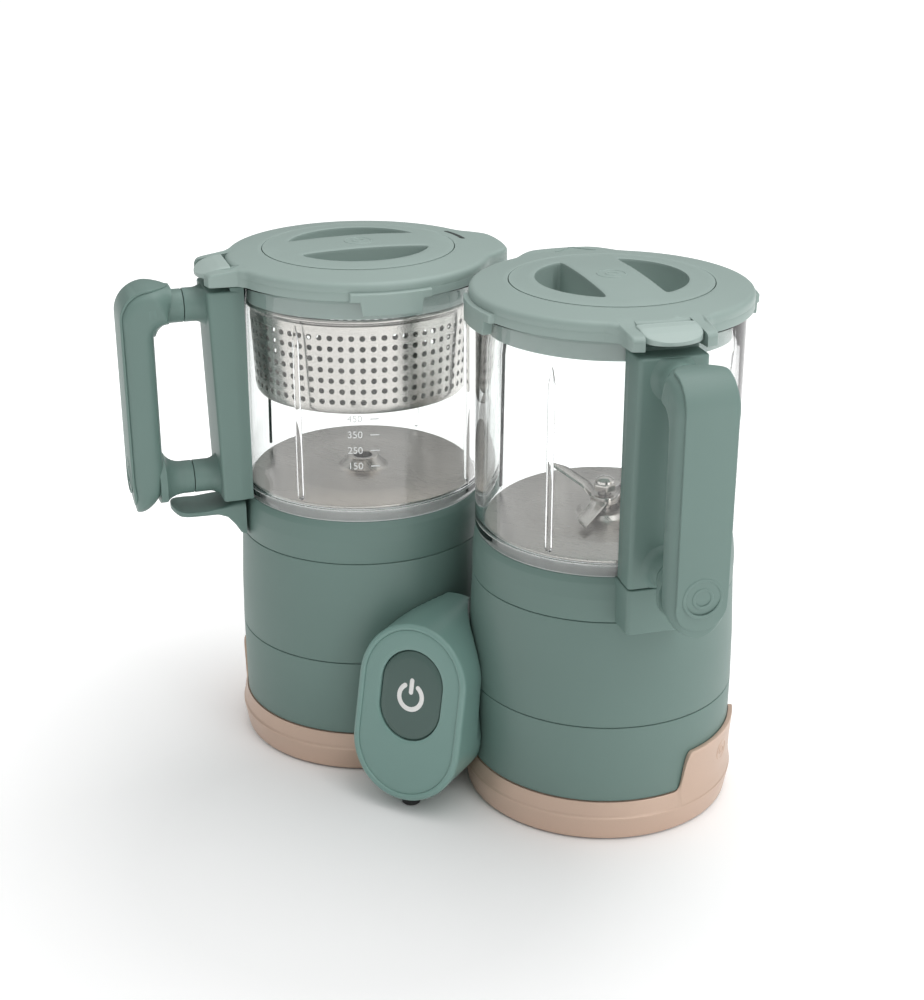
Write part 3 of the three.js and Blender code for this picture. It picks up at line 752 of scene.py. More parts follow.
class FOODMAKER_OT_control_pod(bpy.types.Operator):
    """Leaning control pod with its rim, face, button and power sign"""
    bl_idname = "food_maker.control_pod"
    bl_label = "Control pod"

    def execute(self, context):
        finished("pod_housing", pod_housing(), "pod_green")
        centre = POD_SLANT / 2 + BUTTON_RISE
        width, height = BUTTON_SIZE
        outer = stadium(POD_WIDTH - 7.46, POD_SLANT - 7.46, 0, POD_SLANT / 2, 28)
        inner = stadium(width + 0.9, height + 0.9, 0, centre, 28)
        rows = np.concatenate([
            face_rows(outer, [(0, 4.4), (0, 1.05), (0.1, 0.98), (0.3, 0.95), (2.5, 0.95)]),
            face_rows(inner, [(-2.2, 0.95), (-0.5, 1.0), (-0.1, 1.2), (0, 1.6), (0, 4.4)])])
        finished("pod_face", grid(leaned(rows), along=True), "pod_green")
        outline = stadium(width, height, 0, centre, 28)
        skirt = face_rows(outline, [(0, 5.5), (0, 2.6), (0.1, 2.2), (0.4, 1.85), (0.9, 1.65)])
        scale = np.array([[0.85, 1.55], [0.6, 1.42], [0.3, 1.33], [0.05, 1.3]])
        hub = np.array([0, centre])
        crown = hub + (skirt[-1, :, :2] - hub)[None] * scale[:, :1, None]
        crown = np.concatenate([crown, np.broadcast_to(scale[:, 1, None, None], (*crown.shape[:2], 1))], -1)
        button = capped(leaned(np.concatenate([skirt, crown])))
        finished("control_button", button, "button_green")
        sign = moved(power_sign(), lambda v: leaned(np.stack([v[:, 0], v[:, 1] + centre - 0.6,
                                                              1.42 - v[:, 2]], -1)))
        high = cad_box("pod_foot")[1]
        foot = revolved([(0, 0), (4.2, 0), (4.8, 0.6), (4.8, high[2]), (0, high[2])], 40, closed=False)
        place = np.array([0, high[1] - 5.2, 0])
        finished("pod_foot", moved(foot, lambda v: v + place), "black_rubber")
        make_piece("power_sign", sign, "mark", "button_green", "control_button", stands_for=False)
        return {"FINISHED"}


class FOODMAKER_OT_release_lever(bpy.types.Operator):
    """Scooped release lever under the steamer's handle"""
    bl_idname = "food_maker.release_lever"
    bl_label = "Release lever"

    def execute(self, context):
        x = np.concatenate([np.linspace(68.2, 98, 34), 106.4 - 8.4 * np.linspace(1, 0.02, 18)[1:] ** 2])
        half = 13 * np.sqrt(np.clip(1 - np.clip((x - 97) / 9.5, 0, 1) ** 2.4, 0.001, 1))
        low = np.interp(x, [68, 71, 74, 78, 83, 103, 106.4],
                        [122.6, 124.5, 129.6, 134.6, 136.8, 137.4, 139.2])
        high = np.interp(x, [68, 74, 80, 92, 100, 106.4], [143.2, 142.8, 141.2, 140.0, 140.4, 141.9])
        dish = 1.3 * smooth((x - 74) / 10) * smooth((106.4 - x) / 4)
        shape = loft(x, half, low, high, 0.3, dish, 56)
        finished("release_lever", on_tower(shape, "left", HANDLE["left"]), "green_shell")
        return {"FINISHED"}


# ---------------------------------------------------------------- jars
def jar_wall(rib_depth):
    """Outer wall, rounded rim, inner wall and thick foot turned about the axis. Four ribs push the inner
    wall in by depth * sqrt(1 - (arc / half width)^2), and their width closes to a point at the top."""
    quarter = np.radians([45, 135, 225, 315])
    near = (quarter[:, None] + np.linspace(-0.045, 0.045, 25)).ravel()
    a = np.unique(np.round(np.concatenate([np.linspace(0, FULL_TURN, 200, endpoint=False), near]), 6))
    steps = 7
    outer = rounded([(56.4, GLASS_LOW, 0.4), (64.8, GLASS_LOW, 1.8), (GLASS_RADIUS, GLASS_LOW + 3.2, 3.0),
                     (GLASS_RADIUS, GLASS_TOP, 1.8), (GLASS_INNER, GLASS_TOP, 1.8), (GLASS_INNER, 200)],
                    steps)[0]
    heights = np.concatenate([np.linspace(247.4, 232, 26), np.linspace(230, 160, 15),
                              [155.5, 154.6, 154, 153.4]])
    inside = np.stack([np.full(len(heights), GLASS_INNER), heights], 1)
    foot = np.array([[61.9, 151.2], [61.3, 150.0], [60.2, 149.2], [59.0, GLASS_FLOOR], [56.4, GLASS_FLOOR]])
    outer = outer[:5 * steps]
    profile = np.concatenate([outer, inside, foot])
    span = (profile[:, 1] > 153.5) & (profile[:, 1] < 247.2)
    span[:len(outer)] = False
    taper = np.clip((247.2 - profile[:, 1]) / 9, 0, 1) ** 0.7 * np.clip((profile[:, 1] - 153.5) / 1.2, 0, 1)
    turn = np.abs((a[:, None] - quarter + math.pi) % FULL_TURN - math.pi).min(1) * GLASS_INNER
    width = 1.75 * taper[:, None] + 1e-6
    rib = np.sqrt(np.clip(1 - (turn[None] / width) ** 2, 0, 1)) * taper[:, None] * span[:, None]
    r = profile[:, :1] - rib_depth * rib
    return grid(np.stack([r * np.cos(a), r * np.sin(a), profile[:, 1:] + 0 * a], -1), along=True)


def wrapped(shape, centre_angle, height, radius):
    """A flat shape bent round an upright cylinder, read from outside."""
    def bend(v):
        a = centre_angle + v[:, 0] / radius
        r = radius + v[:, 2]
        return np.stack([r * np.cos(a), r * np.sin(a), v[:, 1] + height], -1)
    return moved(shape, bend)


class FOODMAKER_OT_glass_jars(bpy.types.Operator):
    """Glass jars with inner ribs, and the volume marks on the steamer's jar"""
    bl_idname = "food_maker.glass_jars"
    bl_label = "Glass jars"

    def execute(self, context):
        sizes = context.scene.food_maker_sizes
        jar = jar_wall(sizes.rib_depth / MM)
        for side in SIDES:
            finished(f"glass_jar_{side}", on_tower(jar, side, HANDLE[side]), "clear_glass", crease=50)
        marks = []
        for i, text in enumerate(("150", "250", "350", "450")):
            height = 175.8 + 8.4 * i
            figures = numerals(text, sizes.figure_height / MM, 0.3)
            line = slab(stroke([(8, 0), (10, 0), (12, 0)], 0.6), -0.15, 0.15)
            marks.append(wrapped(joined(figures, line), math.radians(-61.5), height, GLASS_RADIUS + 0.05))
        make_piece("volume_marks", on_tower(joined(*marks), "left"), "figures", "clear_glass",
                   "glass_jar_left", stands_for=False, merge=0.0005)
        return {"FINISHED"}


def strut_body():
    """Upright strut: a plan with rounded outer corners and a hollow inner side that follows the glass,
    leaning out with height, a taller rib against the glass, and two flared stubs."""
    inner = 66.5
    bend = np.linspace(16.4, -16.4, 13)
    plan = [(70.4, -17, 0.4), (83.4, -17, 2.4), (83.4, 17, 2.4), (70.4, 17, 0.4)]
    plan += [(math.sqrt(inner ** 2 - y * y) + 1.6, y) for y in bend]
    main = slab(rounded(plan), STRUT_LOW, STRUT_TOP - 1.9, 0.9, 1.2)
    rib_plan = [(69.6, -16.4, 0.5), (71.4, -16.4, 0.5), (71.4, 16.4, 0.5), (69.6, 16.4, 0.5)]
    rib_plan += [(math.sqrt(inner ** 2 - y * y), y) for y in bend]
    rib = slab(rounded(rib_plan), STRUT_LOW + 0.2, STRUT_TOP, 0.4, 0.5)

    def lean(v):
        out = np.clip((v[:, 0] - 71) / 12.4, 0, 1)
        fall = 3.2 * (STRUT_TOP - v[:, 2]) / (STRUT_TOP - STRUT_LOW)
        return np.stack([v[:, 0] - out * fall, v[:, 1], v[:, 2]], -1)
    body = joined(moved(main, lean), rib)
    for z in STUB_HEIGHTS:
        face = 83.4 - 3.2 * (STRUT_TOP - z) / (STRUT_TOP - STRUT_LOW)
        x = np.linspace(face - 0.6, face + 7, 12)
        flare = STUB_RADIUS + 3.6 * np.clip(1 - (x - face + 0.6) / 6.5, 0, 1) ** 2.6
        profile = [(face - 6, 0), (face - 6, flare[0]), *zip(x, flare), (STUB_SEAM - 0.5, STUB_RADIUS),
                   (STUB_SEAM - 0.12, STUB_RADIUS - 0.12), (STUB_SEAM, STUB_RADIUS - 0.5), (STUB_SEAM, 0)]
        stub = lathe_x(profile, z)
        body = joined(body, moved(stub, lambda v: np.stack([v[:, 0], v[:, 1],
                                                            np.clip(v[:, 2], STRUT_LOW, STRUT_TOP - 2.3)],
                                                           -1)))
    return body


def grip_lines():
    """The grip's outer and inner side-view lines, matched so that sections stay square to the bar."""
    outer_z = np.concatenate([139.9 + 16 * (1 - np.cos(np.linspace(0.06, math.pi / 2, 20))),
                              np.linspace(158, 240, 40)])
    outer = np.stack([np.interp(outer_z, [139.9, 160, 300], [124.4, 126.5, 126.6]), outer_z], 1)
    inner_z = np.interp(outer_z, [139.9, 150, 160, 172, 240], [140.3, 150.5, 160.2, 172, 236])
    inner = np.stack([np.interp(inner_z, [140.3, 143, 147.5, 152, 158, 164, 172, 240],
                                [120.6, 118.2, 114.4, 111.8, 110.6, 110.2, 110.2, 110.2]), inner_z], 1)
    t = np.linspace(0.03, 1, 40)[:, None]
    turn = t * math.pi / 2
    elbow = np.concatenate([111.2 + 15.4 * np.cos(turn), 246.4 + 15.2 * np.sin(turn)], 1)
    tuck = np.concatenate([102.2 + 8.0 * np.cos(turn), 236.4 + 6.6 * np.sin(turn)], 1)
    share = np.linspace(0.08, 1, 16)[:, None]
    top = np.concatenate([111.2 - 11.6 * share, 261.6 - 1.1 * share ** 2], 1)
    under = np.concatenate([102.2 - 0.8 * share, 243.0 + 5.8 * share], 1)
    return np.concatenate([outer, elbow, top]), np.concatenate([inner, tuck, under])


def grip_body():
    """Sections between the grip's two lines. Their half width follows a circle at the foot and draws in
    to the tongue at the top. A stub's radius grows by a quarter circle where it meets the bar."""
    outer, inner = grip_lines()
    foot = 15 * np.sqrt(np.clip(1 - ((156.4 - outer[:, 1]) / 16.8).clip(0, 1) ** 2, 0.01, 1))
    half_width = np.where(outer[:, 1] < 156.4, foot, 15.0) * (0.66 + 0.34 * smooth((outer[:, 0] - 97) / 15))
    body = bar(outer, inner, half_width, 6.4)
    for z in STUB_HEIGHTS:
        x = np.linspace(99.5, 112.5, 16)
        fillet = 8 * (1 - np.sqrt(1 - ((x - 99.5) / 9.5).clip(0, 0.98) ** 2))
        radius = STUB_RADIUS + fillet
        profile = [(STUB_SEAM + 0.3, 0), (STUB_SEAM + 0.3, STUB_RADIUS - 0.5),
                   (STUB_SEAM + 0.42, STUB_RADIUS - 0.12),
                   (STUB_SEAM + 0.8, STUB_RADIUS), *zip(x, radius), (114, 0)]

        def squash(v, z=z):
            rise = v[:, 2] - z
            away = -1 if z < 200 else 1
            grown = np.clip(np.abs(rise) - STUB_RADIUS * 0.9, 0, None)
            rise = np.where(rise * away > 0, rise - away * grown * (0.9 if away > 0 else 0.55), rise)
            return np.stack([v[:, 0], v[:, 1], z + rise], -1)
        body = joined(body, moved(lathe_x(profile, z), squash))
    return body


def grip_panel():
    """Thin rounded-box sections laid along the grip's outer line, half as wide as a circle at both ends."""
    outer = grip_lines()[0]
    outer = outer[outer[:, 1] > 143.4]
    end = np.sin(np.linspace(0.02, math.pi / 2, 14)) ** 2 * 0.085
    share = np.concatenate([end, np.linspace(0.09, 0.91, 90), 1 - end[::-1]])
    line = points_at(outer[:-2], share)
    length = np.linalg.norm(np.diff(outer, axis=0), axis=1).sum()
    near = (np.minimum(share, 1 - share) * length / 12.4).clip(0, 1)
    half = 12.4 * np.sqrt((1 - (1 - near) ** 2).clip(1e-4, 1)) * (0.7 + 0.3 * smooth((line[:, 0] - 98) / 14))
    step = np.gradient(line, axis=0)
    out = np.stack([step[:, 1], -step[:, 0]], 1) / np.linalg.norm(step, axis=1, keepdims=True)
    return bar(line + out * 0.55, line - out * 0.9, half, 0.5, 5)


class FOODMAKER_OT_handles(bpy.types.Operator):
    """Jar handles: strut, stubs, grip and its inset panel"""
    bl_idname = "food_maker.handles"
    bl_label = "Handles"

    def execute(self, context):
        badge = joined(ring_mark(9.0, 1.5, 0.3), ring_mark(4.4, 1.4, 0.3, 32))
        badge = moved(badge, lambda v: v[:, [2, 0, 1]] + np.array([127.05, 0, 160.5]))
        for side in SIDES:
            turn = HANDLE[side]
            finished(f"handle_strut_{side}", on_tower(strut_body(), side, turn), "green_shell")
            finished(f"handle_grip_{side}", on_tower(grip_body(), side, turn), "green_shell")
            finished(f"grip_cover_{side}", on_tower(joined(grip_panel(), badge), side, turn), "green_shell",
                     "pale_green")
        return {"FINISHED"}


class FOODMAKER_OT_jar_floors(bpy.types.Operator):
    """Steel floors, seals and lower couplings of the jars"""
    bl_idname = "food_maker.jar_floors"
    bl_label = "Jar floors"

    def execute(self, context):
        steam = ring_of([(5, 150.8), (61, 150.8, 0.4), (61, 152, 0.4), (40, 152.6, 30), (13, 152.2, 3),
                         (8.2, 158, 1.4),
                         (5, 158, 0.5)], 120, 7)
        finished("steam_floor", on_tower(steam, "left"), "drawn_steel", "steel")
        blend = ring_of([(7.6, 144.6), (13, 144.6), (13, 150.8), (61, 150.8, 0.4), (61, 152, 0.4),
                         (40, 152.8, 30),
                         (14, 152.4, 2), (12, 155, 0.8), (7.6, 155, 0.4)], 120, 7)
        finished("blade_floor", on_tower(blend, "right"), "drawn_steel", "steel")
        for side, hole in (("left", 34.0), ("right", 14.0)):
            seal = ring_of([(56.8, 149.35, 0.3), (61, 149.35, 0.3), (61, 150.5, 0.4), (56.8, 150.5, 0.4)], 96)
            finished(f"floor_seal_{side}", on_tower(seal, side), "foot_highlight_grey", "silicone")
            base = ring_of([(hole, 140, 0.4), (60, 140, 0.5), (60, 131.4, 0.4), (63.2, 131.4, 0.5),
                            (63.2, 144, 0.6),
                            (hole, 144, 0.6)], 96)
            # the spacer ring is pale to give the glass foot a bright band: painted highlight
            spacer = ring_of([(52.5, 143.6), (55.5, 143.6, 0.3), (55.5, 149.1, 0.5), (52.5, 149.1, 0.4)], 96)
            finished(f"jar_base_{side}", on_tower(joined(base, spacer), side), "foot_highlight_grey", "inner_plastic")
        return {"FINISHED"}


def blade(tilt):
    """One blade: a lens section swept from the hub to a swept-back tip and lifted by a tilt."""
    u = np.linspace(0, 1, 26)
    x = 4 + 27 * u
    front = -4.4 + 8.2 * np.clip((u - 0.62) / 0.38, 0, 1) ** 2.2
    back = 4.2 - 0.4 * u
    v = np.linspace(0, FULL_TURN, 20, endpoint=False)
    chord = (np.cos(v) + 1) / 2
    thick = 0.8 * np.sin(v) * np.clip(np.minimum(1, 0.12 + 3.2 * chord), 0, 1)
    y = front[:, None] + (back - front)[:, None] * chord
    z = thick[None] + np.tan(np.radians(tilt)) * (x[:, None] * smooth((u[:, None]) / 0.25))
    return capped(np.stack([x[:, None] + 0 * chord, y, z], -1))


class FOODMAKER_OT_blades(bpy.types.Operator):
    """Four-armed cutting blade on its hub, and its nut"""
    bl_idname = "food_maker.blades"
    bl_label = "Blades"

    def execute(self, context):
        low, high = cad_box("blade_nut")
        hub = ring_of([(3.4, 158, 0.2), (7.2, 158, 0.7), (7.2, 162, 0.7), (3.4, 162, 0.2)], 64)
        arms = [moved(blade(t), lambda v, i=i: spun(v, i * math.pi / 2) + np.array([0, 0, 160]))
                for i, t in enumerate((24, -8, 24, -8))]
        finished("blade_set", on_tower(joined(hub, *arms), "right"), "polished", "steel")
        hexagon = [(6.1 * math.cos(a), 6.1 * math.sin(a), 0.8) for a in np.radians(np.arange(6) * 60)]
        nut = slab(rounded(hexagon, 4), low[2], low[2] + 3.8, 0.4, 0.6)
        dome = revolved([(0, low[2] + 3), (5.0, low[2] + 3), (4.7, low[2] + 5), (3.4, high[2] - 0.6),
                         (1.8, high[2] - 0.1), (0, high[2])], 40, closed=False)
        finished("blade_nut", on_tower(joined(nut, dome), "right"), "polished", "steel")
        return {"FINISHED"}


# ---------------------------------------------------------------- basket
def basket(rows, columns, pitch, hole):
    """Each hole has its own square cell of wall: a square loop outside, a circle inside, both with 16
    points, joined by quads on the outer and inner faces and through the wall. The cells are bent round a
    slightly tapered cylinder; floor and rolled rim are turned to the same points."""
    top_row = 241.0
    low = top_row - pitch * (rows - 0.5)
    high = top_row + pitch * 0.5
    width = FULL_TURN / columns
    side = np.linspace(-0.5, 0.5, 5)[:-1]
    square = np.concatenate([np.stack([side, -0.5 + 0 * side], 1), np.stack([0.5 + 0 * side, side], 1),
                             np.stack([-side, 0.5 + 0 * side], 1), np.stack([-0.5 + 0 * side, -side], 1)])
    ring = np.arctan2(square[:, 1], square[:, 0])
    radius_at = lambda z: 56.7 + (z - BASKET_LOW) * 2.6 / (BASKET_TOP - BASKET_LOW)
    i, j = np.meshgrid(np.arange(columns), np.arange(rows), indexing="ij")
    centre_a = (i.ravel() + 0.5)[:, None] * width
    centre_z = (low + pitch * (j.ravel() + 0.5))[:, None]
    wall = 0.8

    def loop(kind, depth):
        if kind == "cell":
            a, z = centre_a + square[:, 0] * width, centre_z + square[:, 1] * pitch
        else:
            a = centre_a + hole / 2 * np.cos(ring) / 58.0
            z = centre_z + hole / 2 * np.sin(ring)
        r = radius_at(z) - depth
        return np.stack([r * np.cos(a), r * np.sin(a), z], -1)
    loops = np.stack([loop("cell", 0), loop("hole", 0), loop("hole", wall), loop("cell", wall)], 1)
    cells = loops.shape[0]
    index = np.arange(cells * 4 * 16).reshape(cells, 4, 16)
    index = np.concatenate([index, index[:, :, :1]], 2)
    quads = np.stack([index[:, :-1, :-1], index[:, :-1, 1:], index[:, 1:, 1:], index[:, 1:, :-1]],
                     -1).reshape(-1, 4)
    band = (loops.reshape(-1, 3), [quads])
    angles = np.linspace(0, FULL_TURN, columns * 4, endpoint=False)
    r_low, r_high = radius_at(low), radius_at(high)
    floor = [(r_low - wall, low), (r_low - 1.0, low - 1.2), (r_low - 1.6, BASKET_LOW + 2.2),
             (r_low - 3.2, BASKET_LOW + 1.1),
             (30, BASKET_LOW + 1.0), (0, BASKET_LOW + 1.0)]
    under = [(0, BASKET_LOW), (30, BASKET_LOW), (r_low - 3.0, BASKET_LOW), (r_low - 1.2, BASKET_LOW + 0.8),
             (r_low - 0.4, BASKET_LOW + 2.2), (r_low, low)]
    a = np.linspace(-0.5 * math.pi, math.pi, 12)
    roll = [(60.0 + 1.15 * math.cos(t), BASKET_TOP - 1.15 + 1.15 * math.sin(t)) for t in a]
    rim = [(r_high, high), (radius_at(247.0), 247.0), (59.7, 247.6), *roll, (58.3, BASKET_TOP - 2.4),
           (radius_at(247.0) - wall, 247.0), (r_high - wall, high)]
    return joined(band, revolved(floor, closed=False, angles=angles),
                  revolved(under, closed=False, angles=angles),
                  revolved(rim, closed=False, angles=angles))


class FOODMAKER_OT_basket(bpy.types.Operator):
    """Perforated steel steaming basket"""
    bl_idname = "food_maker.basket"
    bl_label = "Steam basket"

    def execute(self, context):
        sizes = context.scene.food_maker_sizes
        shape = basket(sizes.hole_rows, sizes.hole_columns, sizes.hole_pitch / MM, sizes.hole_diameter / MM)
        finished("steam_basket", on_tower(shape, "left", HANDLE["left"]), "steel", merge=0.01)
        return {"FINISHED"}


# ---------------------------------------------------------------- lids
def domed(shape):
    """Lifts a lid's top by rise * (1 - (r / radius)^2), less and less down to the wells' floor."""
    def lift(v):
        share = smooth((v[:, 2] - (LID_TOP - 8.4)) / 8.2)
        bow = 1 - np.clip((v[:, 0] ** 2 + v[:, 1] ** 2) / LID_RADIUS ** 2, 0, 1)
        return v + np.stack([0 * bow, 0 * bow, DOME_RISE * bow * share], -1)
    return moved(shape, lift)


def lid_plate():
    """The lid's section carried round its axis. Outside a radius of 66 a point also moves by w * reach
    along its own direction: out to the spout, to the latch's cheeks along the handle, or to the side
    hooks, whose lower lip drops."""
    cheek = np.radians([12.35, 12.4, 12.6, 13.2, 14.0, 15.0, 16.0, 16.8, 17.3, 17.6, 17.7, 18.4, 19.6, 21,
                        23])
    tabs = np.radians(np.r_[np.linspace(71, 78, 16), np.linspace(100, 107, 16)])
    nose = np.radians(np.linspace(150, 210, 60))
    a = np.concatenate([np.linspace(0, FULL_TURN, 220, endpoint=False), cheek, FULL_TURN - cheek, tabs,
                        FULL_TURN - tabs,
                        nose])
    a = np.unique(np.round(a, 6))
    folded = np.minimum(a, FULL_TURN - a)
    y = LID_RADIUS * np.sin(folded)
    degrees = np.degrees(folded)
    cheeks = (y > 14.85) & (degrees < 40)
    lug = smooth((21.6 - y) / 1.1) * cheeks
    reach = np.where(cheeks, 14.0 * lug + 2.2 * smooth((27 - y) / 6), 0.0)
    reach += 9.2 * smooth((28 - (180 - degrees)) / 18)
    off = np.abs(degrees - 89) * math.radians(LID_RADIUS)
    hook = 2.5 * smooth((21.5 - off) / 1.6)
    drop = 7.0 * smooth((15.6 - off) / 1.2)
    direction = np.where(degrees < 40, [np.ones_like(a), np.zeros_like(a)], [np.cos(a), np.sin(a)])
    low, top = LID_LOW, LID_TOP
    # radius, height, then shares of the reach, the hook and its drop, and the fall of the lugs' top;
    # what a row leaves out is nought
    rows = [(57.5, SKIRT_LOW), (60.4, SKIRT_LOW), (61.0, SKIRT_LOW + 0.25), (61.2, SKIRT_LOW + 0.9),
            (61.2, low), (66.6, low), (67.0, low), (67.0, low, 0, 0, 1), (67.4, low - 0.1, 0.3, 0.3, 1),
            (69.0, low, 1, 1, 1), (69.35, low + 0.15, 1, 1, 1), (LID_RADIUS, low + 0.6, 1, 1, 1),
            (LID_RADIUS, low + 3, 1, 1), (LID_RADIUS, low + 3.9, 1, 1), (69.4, low + 4.3, 1, 0.85),
            (LID_RADIUS, low + 4.5, 1), (LID_RADIUS, top - 2.4, 1, 0, 0, 1.8),
            (69.3, top - 1.4, 1, 0, 0, 2.2), (68.9, top - 0.75, 1, 0, 0, 2.3),
            (68.2, top - 0.28, 1, 0, 0, 2.2), (67.5, top - 0.08, 0.97, 0, 0, 2.0),
            (66.9, top, 0.85, 0, 0, 1.7), (66.5, top, 0.6, 0, 0, 1.4), (66.2, top, 0.3, 0, 0, 1.2),
            (65.8, top), (63, top), (60, top), (56, top), (53, top), (50.9, top), (50.5, top - 0.15),
            (50.4, top - 0.5), (50.4, top - 4), (40, top - 4), (40, top - 6.5), (57.5, top - 6.5)]
    r, z, w, h, d, g = np.array([(*row, 0, 0, 0, 0)[:6] for row in rows], float).T[:, :, None]
    out = w * reach
    x = (r + h * hook) * np.cos(a) + out * direction[0]
    y = (r + h * hook) * np.sin(a) + out * direction[1]
    points = np.stack([x, y, z - drop * d - g * lug], -1)
    return grid(points, along=True)


def lid_cap():
    """A disc with two D-shaped finger wells. About each well's centre, the D is a soft minimum of the
    distances to its chord and its arc, and the top is drawn between the D and the half disc's edge."""
    radius, well, chord, middle_y = CAP_RADIUS, 37.5, 14.5, 25.0
    arc_steps = 97
    corner = math.atan2(-middle_y, radius)
    upper = np.linspace(corner, math.pi - corner, arc_steps)
    lower = np.linspace(math.pi - corner, FULL_TURN + corner, 49)[1:-1]
    f = np.concatenate([upper, lower])
    c, s = np.cos(f), np.sin(f)
    to_arc = lambda big: -middle_y * s + np.sqrt(np.clip((middle_y * s) ** 2 - middle_y ** 2 + big ** 2, 0,
                                                         None))
    to_line = lambda gap: np.where(s < -1e-6, gap / np.clip(-s, 1e-6, None), 1e6)
    edge = np.minimum(to_arc(radius), to_line(middle_y))
    inner = (to_arc(well) ** -14 + to_line(middle_y - chord) ** -14) ** (-1 / 14)
    unit = np.stack([c, s], 1)
    rows = [(0.02, -WELL_DROP), (0.5, -WELL_DROP), (0.84, -WELL_DROP + 0.05), (0.91, -WELL_DROP + 0.4),
            (0.95, -WELL_DROP + 1.4),
            (0.985, -1.4), (0.992, -0.5), (1.0, -0.2), (1.02, -0.04)]
    loops = [np.concatenate([unit * (inner * q)[:, None], np.full((len(f), 1), z)], 1) for q, z in rows]
    for m in (0.2, 0.4, 0.6, 0.8, 1.0):
        r = inner * 1.05 * (1 - m) + edge * m
        loops.append(np.concatenate([unit * r[:, None], np.zeros((len(f), 1))], 1))
    half = np.array(loops)
    half[..., 1] += middle_y
    half[..., 2] += LID_TOP
    pole = half[0].mean(0)
    half = np.concatenate([np.broadcast_to(pole, half[:1].shape), half])
    angles = np.arctan2(half[-1, :arc_steps, 1], half[-1, :arc_steps, 0])[:-1]
    angles = np.sort(np.concatenate([angles, angles + math.pi]))
    side = revolved([(radius, LID_TOP), (radius + 0.02, LID_TOP - 0.4), (radius, LID_TOP - 3.6),
                     (39.4, LID_TOP - 3.6),
                     (39.4, LID_TOP - WELL_DROP - 1.5), (20, LID_TOP - WELL_DROP - 1.5),
                     (0, LID_TOP - WELL_DROP - 1.5)],
                    closed=False, angles=angles)
    other = half * np.array([-1, -1, 1])
    return joined(grid(half), grid(other), side)


class FOODMAKER_OT_lids(bpy.types.Operator):
    """Lids with spout, side hooks, caps and raised signs"""
    bl_idname = "food_maker.lids"
    bl_label = "Lids"

    def execute(self, context):
        for side in SIDES:
            turn = HANDLE[side]
            finished(f"lid_{side}", on_tower(domed(lid_plate()), side, turn), "pale_green", crease=40)
            badge = joined(ring_mark(7.0, 1.0, 0.3), ring_mark(3.0, 0.9, 0.3, 24))
            badge = moved(badge, lambda v: v + np.array([0, 0, LID_TOP]))
            cap = domed(joined(lid_cap(), badge))
            finished(f"lid_cap_{side}", on_tower(cap, side, turn), "pale_green", crease=40, merge=0.01)
        # the steam slot is a thin dark plate on the lid top: painted shade standing for the open slot
        slot_line = stroke(arc(58, 183, 200, 14), 3.0)
        vent = domed(slab(slot_line, LID_TOP - 0.6, LID_TOP + 0.06))
        make_piece("steam_slot", on_tower(vent, "left", HANDLE["left"]), "painted_slot_shade", "pale_green", "lid_left",
                   stands_for=False)
        chevron = stroke([(66.5, -10.5), (70.2, -6.4), (75, -1.1), (75, 1.1), (70.2, 6.4), (66.5, 10.5)], 1.5)
        arrow = domed(slab(chevron, LID_TOP - 0.4, LID_TOP + 0.34, 0.0, 0.15))
        place = HANDLE["right"] + math.radians(176)
        make_piece("spout_arrow", on_tower(arrow, "right", place), "pale_green", "pale_green", "lid_right",
                   stands_for=False)
        return {"FINISHED"}


class FOODMAKER_OT_latches(bpy.types.Operator):
    """Latch flaps between the lids' cheeks"""
    bl_idname = "food_maker.latches"
    bl_label = "Latch flaps"

    def execute(self, context):
        x = np.concatenate([np.linspace(70.3, 78, 12), 86.3 - 8.3 * np.linspace(1, 0.02, 16)[1:] ** 2])
        half = np.where(x < 78, 14.5, 14.5 * np.sqrt(np.clip(1 - (np.clip(x - 78, 0, 8.4) / 8.4) ** 2.2,
                                                             0.001, 1)))
        high = np.interp(x, [70, 75, 80, 84, 86.4], [271.7, 271.3, 269.8, 268.0, 266.9])
        low = np.interp(x, [70, 78, 86.4], [266.9, 265.6, 265.2])
        for side in SIDES:
            finished(f"latch_flap_{side}", on_tower(loft(x, half, low, high, 0.22), side, HANDLE[side]),
                     "flap_green", "pale_green")
        return {"FINISHED"}


class FOODMAKER_OT_frame_finishes(bpy.types.Operator):
    """Finishes for the frame's own nodes that stay in sight or inside"""
    bl_idname = "food_maker.frame_finishes"
    bl_label = "Inner parts"

    def execute(self, context):
        for side in SIDES:
            refinish(f"bottom_cover_{side}", "inner_plastic")
            refinish(f"deck_{side}", "inner_plastic")
            refinish(f"jar_sensor_pin_{side}", "silicone")
            for i in (1, 2, 3):
                refinish(f"rubber_foot_{side}_{i}", "black_rubber")
        for node in ("boiler_dish", "heating_ring", "motor", "motor_bearing", "drive_shaft", "lever_pin",
                     "blade_bearing", "blade_shaft"):
            refinish(node, "steel")
        for node in ("thermostat", "motor_mount", "power_inlet"):
            refinish(node, "inner_plastic")
        refinish("control_board", "board")
        return {"FINISHED"}


